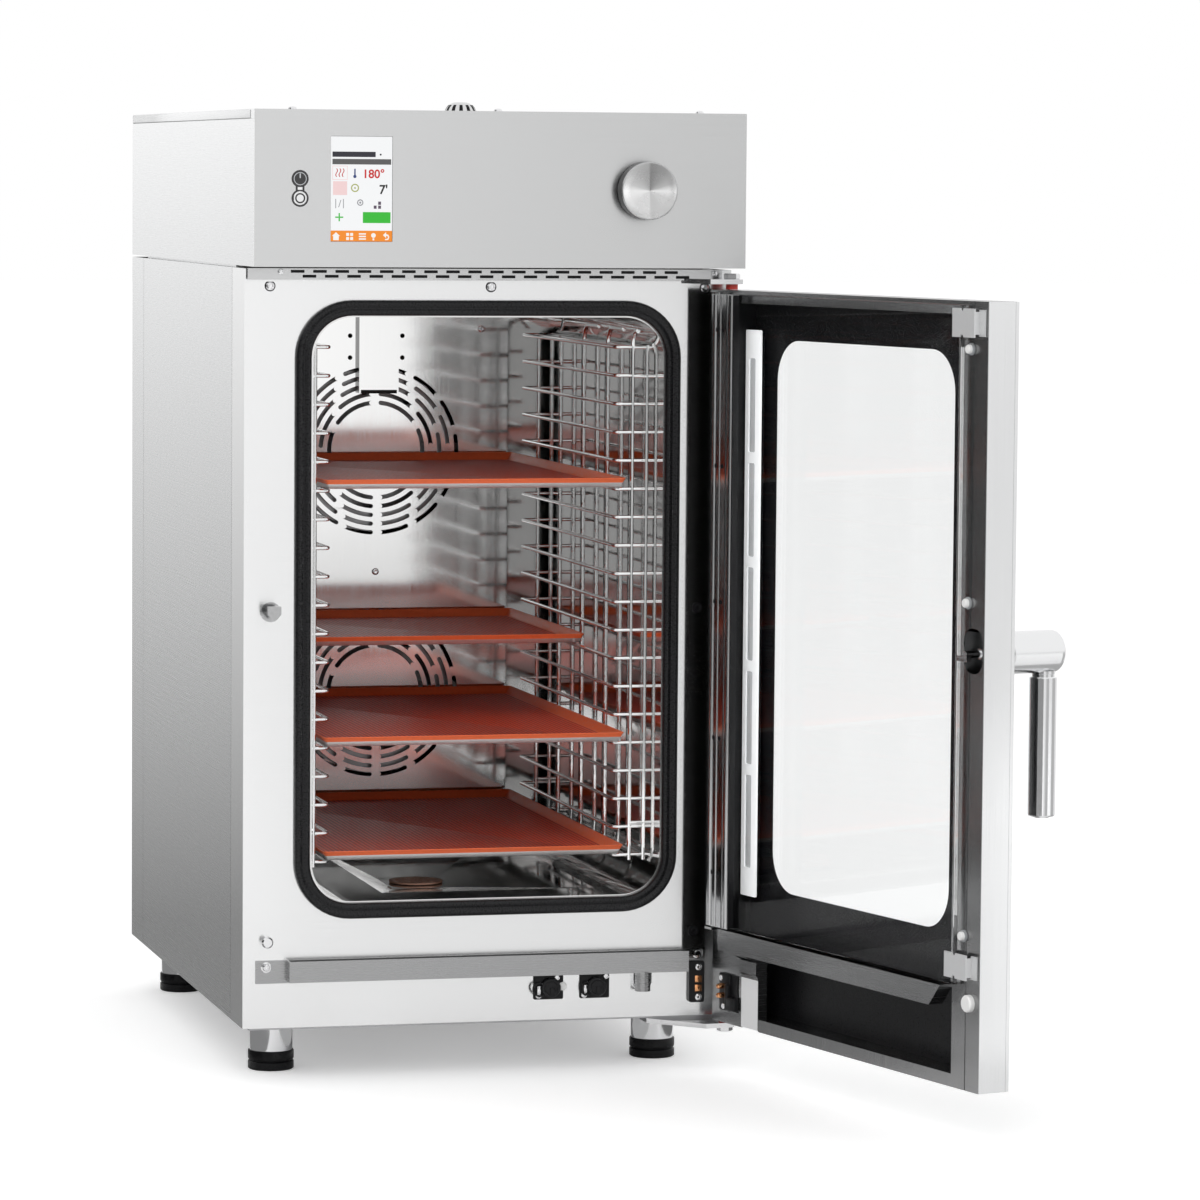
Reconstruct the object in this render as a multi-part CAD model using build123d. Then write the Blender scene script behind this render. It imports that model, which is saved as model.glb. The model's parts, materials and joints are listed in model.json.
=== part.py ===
from build123d import *
import math
import os

# A compact combi steam oven for ten 1/1 trays loaded lengthwise, standing with its door open.
# Millimetres. +X is to the right seen from the front, +Y goes into the oven and +Z is up.
# The oven's sizes follow from its trays. The door's pieces are drawn shut, then swung open.

# Trays
TRAY_WIDTH = 325.0
TRAY_LENGTH = 530.0
TRAY_SHORT = 354.0
TRAY_X = -5.0
TRAY_FRONT = 36.0
TRAY_BACK = TRAY_FRONT + TRAY_LENGTH
TRAY_RIM = 10.0
TRAY_SLOPE = 6.0
TRAY_SHEET = 1.5
TRAY_REST = 0.3
TRAY_RUNGS = (13, 7, 4, 0)
TRAY_LENGTHS = (TRAY_LENGTH, TRAY_SHORT, TRAY_LENGTH, TRAY_LENGTH)

# Cavity, with the fans' room behind the baffle
BODY_BASE = 60.0
BAFFLE_Y = TRAY_BACK + 12.0
FAN_ROOM = 62.0
CAVITY_DEPTH = BAFFLE_Y + FAN_ROOM
CAVITY_HALF = TRAY_WIDTH / 2 + 24.5
CAVITY_LOW = BODY_BASE + 131.0
CAVITY_HEIGHT = 608.0
CAVITY_HIGH = CAVITY_LOW + CAVITY_HEIGHT
CAVITY_RADIUS = 42.0

# Cabinet
HALF = CAVITY_HALF + 72.5
BODY_DEPTH = CAVITY_DEPTH + 75.0
BODY_TOP = CAVITY_HIGH + 50.0
HEAD_BASE = BODY_TOP + 2.5
HEAD_TOP = HEAD_BASE + 160.5
HEAD_OVERHANG = 54.0
LID_SKIRT = 10.0
SHEET = 1.5
FRONT_RETURN = 70.0
BACK_RETURN = 80.0
PANEL_JOINT = 1.0
CASING_LIP = 12.0
BASE_DROP = 3.0
BASE_INSET = 8.0

# Seal, insulation and the sunken floor with its drain
SEAL_WIDTH = 17.0
SEAL_HEIGHT = 11.7
SEAL_EDGE = 1.5
SEAL_ROUND = 4.0
INSULATION = 26.0
INSULATION_FRONT = 12.0
FLOOR_PAN = 11.0
PAN_X = (87.0 - CAVITY_HALF, CAVITY_HALF - 57.0)
PAN_Y = (57.0, TRAY_BACK - 26.0)
PAN_DEPTH = 7.0
PAN_RIM = 8.0
DRAIN_X = -36.0
DRAIN_Y = 185.0
DRAIN_R = 25.0
DRAIN_WALL = 2.0
DRAIN_STUB = 30.0
DRAIN_END = BODY_DEPTH + 33.0
DRAIN_PIPE_Z = BODY_BASE + 48.0
STRAINER_R = 30.0
STRAINER_ROWS = 3
STRAINER_PITCH = 12.0
STRAINER_HOLE = 7.0

# Vent slots and the ledge above the door
LEDGE_Z = BODY_TOP - 12.0
LEDGE_DEPTH = 4.0
SLOT_LENGTH = 16.0
SLOT_HEIGHT = 2.6
SLOT_PITCH = 24.0
SLOT_COUNT = 17
SLOT_ROWS = (BODY_TOP - 3.8, BODY_TOP - 7.8)

# Air baffle and fans
BAFFLE_X = (27.0 - CAVITY_HALF, CAVITY_HALF - 32.0)
BAFFLE_Z = (CAVITY_LOW + 8.0, CAVITY_HIGH - 8.0)
BAFFLE_EDGE = 16.0
DUCT_X = (-22.0, 24.0)
DUCT_DEPTH = 11.0
DUCT_RISE = 66.0
FAN_X = 0.0
FAN_HEIGHTS = (CAVITY_HIGH - 168.0, CAVITY_LOW + 161.0)
RING_OUTER = 97.0
RING_PITCH = 10.0
RING_SLOT = 5.0
RING_BRIDGE = 6.0
RING_COUNTS = (13, 11, 9, 7, 5)
FAN_RADIUS = 95.0
FAN_FRONT = BAFFLE_Y + 12.0
FAN_BACK = CAVITY_DEPTH - 10.0
FAN_BLADES = 8
FAN_SIDES = 18
FAN_SHAFT_R = 6.0
RUNNING_FIT = 0.05
MOTOR_RADIUS = 42.0
MOTOR_BACK = BODY_DEPTH - 4.0
MOTOR_SIDES = 16
MOTOR_BOSS_R = 17.0
SHAFT_END = MOTOR_BACK - 20.0
HEATER_RADIUS = 114.0
HEATER_WIRE = 4.0
HEATER_SIDES = 24
HEATER_TAIL = 30.0

# Tray racks: wire rungs every 30 mm, on posts that stand beside the trays
RUNG_BASE = CAVITY_LOW + 35.5
RUNG_PITCH = 30.0
RUNG_COUNT = int((CAVITY_HIGH - RUNG_BASE) // RUNG_PITCH)
WIRE = 2.0
RACK_FRONT = TRAY_FRONT + 14.0
POST_WIRE = 2.4
POST_BASE = RUNG_BASE - 5.5
POST_COUNT = 5
POST_STEP = (TRAY_BACK - 92.0 - RACK_FRONT) / (POST_COUNT - 1)
WALL_STUD = 30.0
RIGHT_RACK = (TRAY_X + TRAY_WIDTH / 2 - 9.5, CAVITY_HALF - 20.5, CAVITY_HALF - 5.0)
LEFT_RACK = (TRAY_X - TRAY_WIDTH / 2 + 7.5, 11.5 - CAVITY_HALF, 5.0 - CAVITY_HALF)
HOOK_R = 18.0
HOOK_REACHES = (4.0, 50.0, 50.0)

# Door, in its shut place
HINGE_X = HALF - 7.5
HINGE_Y = -30.0
DOOR_OPEN = 104.5
DOOR_FRONT = -54.5
DOOR_BACK = -19.0
DOOR_LOW = BODY_BASE - 1.0
DOOR_HIGH = BODY_TOP - 20.0
STILE = 49.5
HINGE_STILE = 26.0
RAIL = 13.0
GROOVE_X = 24.5 - HALF
GROOVE = (2.0, 0.8)
LOWER_PLATE = (HALF - 61.5, DOOR_LOW + 80.0)
GLASS_OUTER = 4.0
GLASS_Y = (-17.0, -12.0)
GLASS_X = (37.5 - HALF, HALF - 47.5)
GLASS_Z = (DOOR_LOW + 103.0, DOOR_HIGH - 4.0)
GLASS_AXIS = (HALF - 13.5, -11.0)
LEAF = (HALF - 53.5, HALF - 9.5)
PIN_R = 4.95
PIN_FIT = 0.05
PLATE = 5.0
DOOR_PLAY = 0.3
PLATE_LOW = DOOR_LOW - 7.0
PLATE_HIGH = DOOR_HIGH + 6.0
TOP_PLATE_X = HALF - 54.5
LED_X = (HALF - 61.5, HALF - 26.0)
LED_Y = (-45.0, -36.0)
LED_Z = (CAVITY_LOW + 4.0, CAVITY_HIGH - 11.0)
LED_WINDOWS = 5
LED_GAP = 11.0
LED_END = 29.5
LED_EDGES = (13.0, 9.0)
CHANNEL_X = (46.5 - HALF, HALF - 37.5)
CHANNEL_Z = (DOOR_LOW + 80.0, DOOR_LOW + 102.0)
CHANNEL_Y = (-19.0, -3.0)
CHANNEL_MITRE = 20.0
CHUTE_X = (HALF - 94.5, HALF - 61.5)
CHUTE_Y = (-30.0, -19.0)
CHUTE_TOP = DOOR_LOW + 56.0
CLIP_X = (3.0 - HALF, 51.5 - HALF)
CLIP_Z = ((DOOR_HIGH - 35.0, DOOR_HIGH - 7.0), (GLASS_Z[0] + 7.0, GLASS_Z[0] + 32.0))
BUFFER_X = 28.5 - HALF
BUFFER_ZS = (DOOR_HIGH - 46.4, DOOR_LOW + 477.3, DOOR_LOW + 151.8)
BUFFER_R = 6.0
PAD = (16.5 - HALF, DOOR_LOW + 87.0)
PAD_R = 8.5
LUG = 2.5
GLASS_PIN_R = 2.5
LATCH_CARRIER = -34.0

# Handle and latch
HANDLE_X = 21.0 - HALF
HANDLE_Z = DOOR_LOW + 428.0
HUB_R = 21.0
HUB_SIDES = 32
HUB_END = -117.5
HUB_ROUND = 6.0
HUB_GAP = 0.3
LEVER_R = 13.5
LEVER_SIDES = 24
LEVER_Y = -101.5
LEVER_LOW = HANDLE_Z - 152.0
COLLAR_R = 12.0
SPINDLE_R = 3.5
LATCH_Y = (-16.0, -10.5)
LATCH_LENGTH = 14.0
LATCH_DROP = 4.4
LATCH_HALF = 2.7
RECESS_X = (2.5 - HALF, 36.5 - HALF)
RECESS_Z = (HANDLE_Z - 19.0, HANDLE_Z + 25.0)
STRIKER_X = 28.0 - HALF
STRIKER_Z = HANDLE_Z + 7.5
STRIKER_HEAD = (14.0, 15.5)

# Controls in the head
DISPLAY_X = (79.0 - HALF, 143.5 - HALF)
DISPLAY_Z = (HEAD_BASE + 26.0, HEAD_TOP - 27.0)
DISPLAY_SET_BACK = 0.3
DISPLAY_PANE = 3.0
BUTTON_X = 47.2 - HALF
BUTTON_Z = HEAD_BASE + 70.0
BUTTON_R = 7.6
BUTTON_SIDES = 24
BUTTON_SPACING = 19.8
BEZEL_EDGE = 1.6
BUTTON_TRAVEL = 1.5
KNOB_X = HALF - 109.0
KNOB_Z = HEAD_BASE + 80.0
KNOB_R = 30.0
KNOB_SIDES = 40
KNOB_DEPTH = 20.0
KNOB_GAP = 2.2
KNOB_BORE = 13.0
KNOB_SHAFT_R = 3.0
PLUNGER = 11.0
PLUNGER_DEPTH = 9.0
PLUNGER_Y = -HEAD_OVERHANG + SHEET + 4.0
BOARD_X = (69.5 - HALF, HALF - 59.5)
BOARD_Y = -34.5
CHIP_XS = (-120.0, -20.0, 60.0)
CHIP_SIZE = 34.0
FLUE_X = 57.0
FLUE_Y = 400.0
FLUE_R = 16.5
FLUE_TOP = HEAD_TOP + 15.0
FLUE_STUB = 13.0

# Gutter, sockets and the lighting contact below the door opening
GUTTER_X = (46.5 - HALF, HALF - 43.5)
GUTTER_Z = (BODY_BASE + 49.0, BODY_BASE + 71.0)
GUTTER_TABS = (13.5 - HALF, HALF - 23.5)
GUTTER_DEPTH = 16.0
SPOUT_X = HALF - 92.0
SPOUT_R = 8.5
SOCKET_XS = (HALF - 191.5, HALF - 141.5)
SOCKET_Z = BODY_BASE + 34.7
SOCKET_SIZE = (29.0, 26.0)
SOCKET_FLANGE = 3.0
CAP_R = 10.5
CAP_HINGE = (-17.0, -8.5)
CONTACT_X = HALF - 31.0
CONTACT_Z = BODY_BASE + 30.8
CONTACT_SIZE = (13.6, 32.0)
CONTACT_DEPTH = 6.0
CONTACT_PITCH = 9.0
CONTACT_PIN_R = 3.5
DOOR_CONTACT_X = (HALF - 41.5, HALF - 20.5)
DOOR_CONTACT_Z = (DOOR_LOW + 14.0, DOOR_LOW + 53.0)

# Screw heads on the front frame, and the pin that stops the door
FRAME_SCREWS = (
    (37.5 - HALF, DOOR_HIGH),
    (0.0, DOOR_HIGH),
    (HALF - 33.5, DOOR_HIGH),
    (HALF - 30.8, HANDLE_Z + 13.0),
    (HALF - 31.5, DOOR_LOW + 106.0),
)
TAB_SCREWS = ((24.5 - HALF, GUTTER_Z[0] + 15.0), (HALF - 32.5, GUTTER_Z[0] + 15.0))
STOP_PIN = (24.5 - HALF, DOOR_LOW + 92.0)

# Feet
FOOT_X = HALF - 50.5
FOOT_Y = (108.0, BODY_DEPTH - 47.0)
LEG_R = 21.0
LEG_SIDES = 20
FOOT_R = 23.5
FOOT_HEIGHT = 14.0
FOOT_GAP = 0.3
STUD_R = 6.0
STUD_SIDES = 8
STUD_TOP = 50.0

# Cooling slots and connections at the back
BACK_SLOT = (80.0, 6.0)
BACK_SLOT_XS = (-110.0, 0.0, 110.0)
BACK_SLOT_ZS = tuple(BODY_TOP - 209.0 + 22.0 * n for n in range(6))
INLET_X = 150.0
INLET_Z = BODY_BASE + 52.0
INLET_R = 13.2
INLET_END = BODY_DEPTH + 20.0
GLAND_X = -170.0
GLAND_Z = BODY_BASE + 50.0
GLAND_BORE = 6.5

os.makedirs("parts", exist_ok=True)
FOOT_MIDDLE = sum(FOOT_Y) / 2


def block(x, y, z):
    """A box from three pairs of limits."""
    size = [abs(pair[1] - pair[0]) for pair in (x, y, z)]
    centre = [(pair[0] + pair[1]) / 2 for pair in (x, y, z)]
    return Pos(*centre) * Box(*size)


def face_on(y, sketch, depth):
    """A sketch in X and Z, set at y and thickened towards the front."""
    plane = Plane(origin=(0, y, 0), x_dir=(1, 0, 0), z_dir=(0, -1, 0))
    return extrude(plane * sketch, depth)


def rod(start, end, radius, bore=0):
    """A round bar or tube between two points."""
    axis = Vector(*end) - Vector(*start)
    section = Circle(radius)
    if bore:
        section -= Circle(bore)
    return extrude(Plane(origin=start, z_dir=axis) * section, axis.length)


def prism(start, end, radius, sides=6):
    """A bar with flat sides between two points."""
    axis = Vector(*end) - Vector(*start)
    return extrude(Plane(origin=start, z_dir=axis) * RegularPolygon(radius, sides), axis.length)


def rectangle(x, z):
    centre = Pos((x[0] + x[1]) / 2, (z[0] + z[1]) / 2)
    return centre * Rectangle(x[1] - x[0], z[1] - z[0])


def rounded(x, z, radius):
    centre = Pos((x[0] + x[1]) / 2, (z[0] + z[1]) / 2)
    return centre * RectangleRounded(x[1] - x[0], z[1] - z[0], radius)


def widened(limits, grow):
    return limits[0] - grow, limits[1] + grow


def trapezoid(low_pair, low, high_pair, high):
    """A four-sided outline from its lower and its upper edge."""
    corners = (low_pair[0], low), (low_pair[1], low), (high_pair[1], high), (high_pair[0], high)
    return Polygon(*corners, align=None)


def side_on(x, sketch):
    """A sketch in Y and Z, thickened between two x places."""
    plane = Plane(origin=(x[0], 0, 0), x_dir=(0, 1, 0), z_dir=(1, 0, 0))
    return extrude(plane * sketch, x[1] - x[0])


def fuse(pieces):
    first, *others = pieces
    return first.fuse(*others) if others else first


def group(pieces):
    """Separate solids that share one node."""
    return Compound(children=[solid for piece in pieces for solid in piece.solids()])


def swing(shape):
    """Carries a piece drawn on the shut door to the open door."""
    hinge = Pos(HINGE_X, HINGE_Y, 0)
    return hinge * Rot(0, 0, DOOR_OPEN) * hinge.inverse() * shape


def export(node, shape):
    """Stands the model with its origin on the floor, midway between the four feet."""
    solids = [Pos(0, -FOOT_MIDDLE, 0) * solid for solid in shape.solids()]
    export_step(Compound(children=solids) if len(solids) > 1 else solids[0], f"parts/{node}.step")


def cavity_outline(grow):
    x = (-CAVITY_HALF - grow, CAVITY_HALF + grow)
    z = (CAVITY_LOW - grow, CAVITY_HIGH + grow)
    return rounded(x, z, CAVITY_RADIUS + grow)


def side_casing(side):
    y = (FRONT_RETURN + PANEL_JOINT, BODY_DEPTH - BACK_RETURN - PANEL_JOINT)
    skin = block((side * HALF, side * (HALF - SHEET)), y, (BODY_BASE, BODY_TOP))
    x = (side * HALF, side * (HALF - CASING_LIP))
    low = block(x, y, (BODY_BASE, BODY_BASE + SHEET))
    high = block(x, y, (BODY_TOP - SHEET, BODY_TOP))
    return fuse([skin, low, high])


def back_casing():
    """The rear cover; its lower lip stands on the base plate."""
    y = (BODY_DEPTH - BACK_RETURN, BODY_DEPTH)
    outer = block((-HALF, HALF), y, (BODY_BASE, BODY_TOP))
    inner = block((-HALF + SHEET, HALF - SHEET), (y[0], y[1] - SHEET), (BODY_BASE, BODY_TOP))
    slots = Sketch() + [
        Pos(x, z) * Rectangle(*BACK_SLOT) for x in BACK_SLOT_XS for z in BACK_SLOT_ZS
    ]
    rear = (y[1] - 2 * SHEET, y[1] + 1)
    lip_y = (y[1] - BASE_INSET - CASING_LIP, y[1])
    lip = block((-HALF, HALF), lip_y, (BODY_BASE, BODY_BASE + SHEET))
    return fuse([outer - inner, lip]) - [
        face_on(rear[1], slots, 2 * SHEET),
        prism((DRAIN_X, rear[0], DRAIN_PIPE_Z), (DRAIN_X, rear[1], DRAIN_PIPE_Z), DRAIN_R + 2, 24),
        prism((INLET_X, rear[0], INLET_Z), (INLET_X, rear[1], INLET_Z), INLET_R + 1, 16),
        prism((GLAND_X, rear[0], GLAND_Z), (GLAND_X, rear[1], GLAND_Z), GLAND_BORE + 3.5, 12),
    ]


def base_plate():
    x = (-HALF + BASE_INSET, HALF - BASE_INSET)
    y = (BASE_INSET, BODY_DEPTH - BASE_INSET)
    return block(x, y, (BODY_BASE - BASE_DROP, BODY_BASE))


def front_frame():
    outline = rectangle((-HALF, HALF), (BODY_BASE, BODY_TOP)) - cavity_outline(SHEET)
    plate = face_on(SHEET, outline, SHEET)
    middle = (SLOT_COUNT - 1) / 2
    slots = Sketch() + [
        Pos((n - middle) * SLOT_PITCH + shift, z) * Rectangle(SLOT_LENGTH, SLOT_HEIGHT)
        for z, shift in zip(SLOT_ROWS, (0, SLOT_PITCH / 2))
        for n in range(SLOT_COUNT)
    ]
    plate -= face_on(SHEET + 1, slots, SHEET + 2)
    returns = [
        block((side * HALF, side * (HALF - SHEET)), (SHEET, FRONT_RETURN), (BODY_BASE, BODY_TOP))
        for side in (-1, 1)
    ]
    ledge_x = (-HALF, TOP_PLATE_X - PANEL_JOINT)
    ledge = block(ledge_x, (-LEDGE_DEPTH, 0), (LEDGE_Z - SHEET, LEDGE_Z))
    sill = block((-HALF + SHEET, HALF - SHEET), (SHEET, BASE_INSET), (BODY_BASE, BODY_BASE + SHEET))
    return fuse([plate, *returns, ledge, sill])


def cavity_liner():
    """The welded oven chamber, with a shallow pan in its floor that falls to the drain."""
    wall = face_on(CAVITY_DEPTH, cavity_outline(SHEET) - cavity_outline(0), CAVITY_DEPTH)
    back = face_on(CAVITY_DEPTH + SHEET, cavity_outline(SHEET), SHEET)
    pan = block(*pan_box())
    studs = [prism((x, BAFFLE_Y + SHEET, z), (x, CAVITY_DEPTH, z), 5) for x, z in baffle_fixings()]
    low = CAVITY_LOW - PAN_DEPTH
    across = trapezoid((DRAIN_X - 35, DRAIN_X + 35), low, PAN_X, CAVITY_LOW)
    along = trapezoid((DRAIN_Y - 45, DRAIN_Y + 45), low, PAN_Y, CAVITY_LOW)
    hollow = face_on(PAN_Y[1], across, PAN_Y[1] - PAN_Y[0]) & side_on(PAN_X, along)
    rear = (CAVITY_DEPTH - 1, CAVITY_DEPTH + 3)
    cuts = [
        hollow,
        prism((DRAIN_X, DRAIN_Y, 100), (DRAIN_X, DRAIN_Y, CAVITY_LOW), DRAIN_R, 24),
        prism((FLUE_X, FLUE_Y, CAVITY_HIGH - 1), (FLUE_X, FLUE_Y, CAVITY_HIGH + 3), FLUE_R - 2, 16),
    ]
    slack = HEATER_WIRE + 0.3
    for z in FAN_HEIGHTS:
        cuts.append(prism((FAN_X, rear[0], z), (FAN_X, rear[1], z), MOTOR_BOSS_R + 1, MOTOR_SIDES))
        for x in (FAN_X - HEATER_RADIUS, FAN_X + HEATER_RADIUS):
            cuts.append(block((x - slack, x + slack), rear, (z - slack, z + slack)))
    return fuse([wall, back, pan, *studs]) - cuts


def pan_box():
    """The deep part of the chamber's floor, as three pairs of limits."""
    x = (PAN_X[0] - PAN_RIM, PAN_X[1] + PAN_RIM)
    y = (PAN_Y[0] - PAN_RIM, PAN_Y[1] + PAN_RIM)
    return x, y, (CAVITY_LOW - FLOOR_PAN, CAVITY_LOW)


def baffle_fixings():
    left, right = BAFFLE_X[0] + 32, BAFFLE_X[1] - 32
    low, high = BAFFLE_Z[0] + 21, BAFFLE_Z[1] - 21
    middle = (0.0, sum(FAN_HEIGHTS) / 2)
    return [(left, low), (right, low), (left, high), (right, high), middle]


def door_seal():
    outer = cavity_outline(SEAL_EDGE + SEAL_WIDTH)
    ring = face_on(0, outer - cavity_outline(SEAL_EDGE), SEAL_HEIGHT)
    return chamfer(ring.edges().group_by(Axis.Y)[0], SEAL_ROUND)


def insulation():
    grow = SHEET + INSULATION
    x = (-CAVITY_HALF - grow, CAVITY_HALF + grow)
    z = (CAVITY_LOW - grow - FLOOR_PAN, CAVITY_HIGH + grow)
    y = (INSULATION_FRONT, CAVITY_DEPTH + SHEET)
    return block(x, y, z) - [
        face_on(y[1] + 1, cavity_outline(SHEET), y[1]),
        block(*pan_box()),
        prism((DRAIN_X, DRAIN_Y, z[0] - 1), (DRAIN_X, DRAIN_Y, CAVITY_LOW), DRAIN_R + 2, 24),
        prism((FLUE_X, FLUE_Y, CAVITY_HIGH), (FLUE_X, FLUE_Y, z[1] + 1), FLUE_R + 2, 16),
    ]


def ring_slots(z):
    """Rings of straight slots in front of one fan, all with bridges of one width between them."""
    slots = []
    for n, count in enumerate(RING_COUNTS):
        radius = RING_OUTER - n * RING_PITCH - RING_SLOT / 2
        length = 2 * math.pi * radius / count - RING_BRIDGE
        for k in range(count):
            turn = Rot(0, 0, 360 / count * (k + n / 2))
            slots.append(Pos(FAN_X, z) * turn * Pos(radius, 0) * Rectangle(RING_SLOT, length))
    return slots


def fan_baffle():
    plate = face_on(BAFFLE_Y + SHEET, rectangle(BAFFLE_X, BAFFLE_Z), SHEET)
    slots = Sketch() + [slot for z in FAN_HEIGHTS for slot in ring_slots(z)]
    plate -= face_on(BAFFLE_Y + SHEET + 1, slots, SHEET + 2)
    edges = [
        block((x, x + side * SHEET), (BAFFLE_Y, BAFFLE_Y + BAFFLE_EDGE), BAFFLE_Z)
        for x, side in zip(BAFFLE_X, (1, -1))
    ]
    return fuse([plate, *edges])


def steam_duct():
    """A shallow channel down the middle of the baffle, open at its lower end."""
    low, high = FAN_HEIGHTS[0] + DUCT_RISE, CAVITY_HIGH - 2
    y = (BAFFLE_Y - DUCT_DEPTH, BAFFLE_Y)
    left, right = DUCT_X
    outer = block(DUCT_X, y, (low, high))
    return outer - block((left + SHEET, right - SHEET), (y[0] + SHEET, y[1]), (low - 1, high - SHEET))


def fan_wheel(z):
    """Blades between a back disc and a front ring, on the motor's shaft."""
    disc = prism((0, FAN_BACK - 2, 0), (0, FAN_BACK, 0), FAN_RADIUS, FAN_SIDES)
    ring = prism((0, FAN_FRONT, 0), (0, FAN_FRONT + 2, 0), FAN_RADIUS, FAN_SIDES)
    ring -= prism((0, FAN_FRONT - 1, 0), (0, FAN_FRONT + 3, 0), FAN_RADIUS - 22, FAN_SIDES)
    hub = prism((0, FAN_BACK - 22, 0), (0, FAN_BACK - 1, 0), 16, FAN_BLADES)
    shaft = rod((0, FAN_BACK - 2, 0), (0, SHAFT_END, 0), FAN_SHAFT_R)
    blade = block((-16, 14), (FAN_FRONT + 1, FAN_BACK - 1), (-1, 1))
    blades = [
        Rot(0, 360 / FAN_BLADES * n, 0) * Pos(FAN_RADIUS - 19, 0, 0) * Rot(0, 32, 0) * blade
        for n in range(FAN_BLADES)
    ]
    return Pos(FAN_X, 0, z) * fuse([disc, ring, hub, shaft, *blades])


def fan_motor(z):
    start = CAVITY_DEPTH + SHEET
    boss_face = CAVITY_DEPTH - 4
    flange = prism((FAN_X, start, z), (FAN_X, start + 3, z), MOTOR_RADIUS + 8, MOTOR_SIDES)
    can = prism((FAN_X, start + 2, z), (FAN_X, MOTOR_BACK, z), MOTOR_RADIUS, MOTOR_SIDES)
    boss = prism((FAN_X, boss_face, z), (FAN_X, start + 1, z), MOTOR_BOSS_R, MOTOR_SIDES)
    bore = rod((FAN_X, boss_face - 1, z), (FAN_X, SHAFT_END + 2, z), FAN_SHAFT_R + RUNNING_FIT)
    return fuse([can, flange, boss]) - bore


def heater(z):
    """A ring round the fan, carried on its two terminals through the back wall."""
    front, back = FAN_FRONT + 20 - HEATER_WIRE, FAN_FRONT + 20 + HEATER_WIRE
    outer = (HEATER_RADIUS + HEATER_WIRE) / math.cos(math.pi / HEATER_SIDES)
    ring = prism((0, front, 0), (0, back, 0), outer, HEATER_SIDES)
    ring -= prism((0, front - 1, 0), (0, back + 1, 0), outer - 2 * HEATER_WIRE, HEATER_SIDES)
    middles = (-HEATER_RADIUS, HEATER_RADIUS)
    wire = (-HEATER_WIRE, HEATER_WIRE)
    ends = [
        block((x - HEATER_WIRE, x + HEATER_WIRE), (back - 1, CAVITY_DEPTH + HEATER_TAIL), wire)
        for x in middles
    ]
    return Pos(FAN_X, 0, z) * fuse([ring, *ends])


def side_rack(places, hooks):
    """Upright wires on rails, with a U-shaped rung welded on at every tray place."""
    inner, post, wall = places
    side = math.copysign(1, inner)
    stations = [RACK_FRONT + n * POST_STEP for n in range(POST_COUNT)]
    ends = (stations[0], stations[-1])
    top = RUNG_BASE + (RUNG_COUNT - 1) * RUNG_PITCH + WIRE
    pieces = []
    for n in range(RUNG_COUNT):
        z = (RUNG_BASE + n * RUNG_PITCH - WIRE, RUNG_BASE + n * RUNG_PITCH + WIRE)
        loop = block((post, inner - side * WIRE), (ends[0] - WIRE, ends[1] + WIRE), z)
        pieces.append(loop - block((post, inner + side * WIRE), (ends[0] + WIRE, ends[1] - WIRE), z))
    for row in (post, wall):
        x = (row - POST_WIRE, row + POST_WIRE)
        pieces += [block(x, (y - POST_WIRE, y + POST_WIRE), (POST_BASE, top)) for y in stations]
        for z in (POST_BASE, top - 2 * POST_WIRE):
            pieces.append(block(x, ends, (z, z + 2 * POST_WIRE)))
    for y in ends:
        z = CAVITY_LOW + CAVITY_RADIUS + WALL_STUD
        for low in (z, top - WALL_STUD):
            tie_z = (low - 2 * POST_WIRE, low)
            pieces.append(block((post, side * CAVITY_HALF), (y - POST_WIRE, y + POST_WIRE), tie_z))
    for y, reach in zip(stations, hooks):
        pieces.append(rack_hook(post, y, top - POST_WIRE, reach))
    return fuse(pieces)


def rack_hook(x, y, z, reach):
    """A cane-shaped wire that rises from a post and bends forward under the ceiling."""
    bend = RadiusArc((x, y, z), (x, y - HOOK_R, z + HOOK_R), HOOK_R)
    path = bend + Line((x, y - HOOK_R, z + HOOK_R), (x, y - HOOK_R - reach, z + HOOK_R))
    return sweep(Plane(origin=(x, y, z), z_dir=(0, 0, 1)) * RegularPolygon(POST_WIRE, 4), path)


def tray(rung, length):
    """A flat tray with four low sloping rims that meet at the corners."""
    base = RUNG_BASE + rung * RUNG_PITCH + WIRE + TRAY_REST
    middle = Pos(TRAY_X, TRAY_BACK - length / 2, base)
    slope = 2 * TRAY_SLOPE
    wall = 2 * TRAY_SHEET

    def solid(inset, low, high):
        narrow = Pos(0, 0, low) * Rectangle(TRAY_WIDTH - slope - inset, length - slope - inset)
        wide = Pos(0, 0, high) * Rectangle(TRAY_WIDTH - inset, length - inset)
        return loft([narrow, wide], ruled=True)

    return middle * (solid(0, 0, TRAY_RIM) - solid(wall, TRAY_SHEET, TRAY_RIM + TRAY_SHEET))


def drain_strainer():
    z = CAVITY_LOW - PAN_DEPTH
    disc = prism((DRAIN_X, DRAIN_Y, z), (DRAIN_X, DRAIN_Y, z + 2), STRAINER_R, 24)
    middle = (STRAINER_ROWS - 1) / 2
    steps = [STRAINER_PITCH * (n - middle) for n in range(STRAINER_ROWS)]
    hole = Box(STRAINER_HOLE, STRAINER_HOLE, 8)
    return disc - [Pos(DRAIN_X + x, DRAIN_Y + y, z) * hole for x in steps for y in steps]


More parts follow.
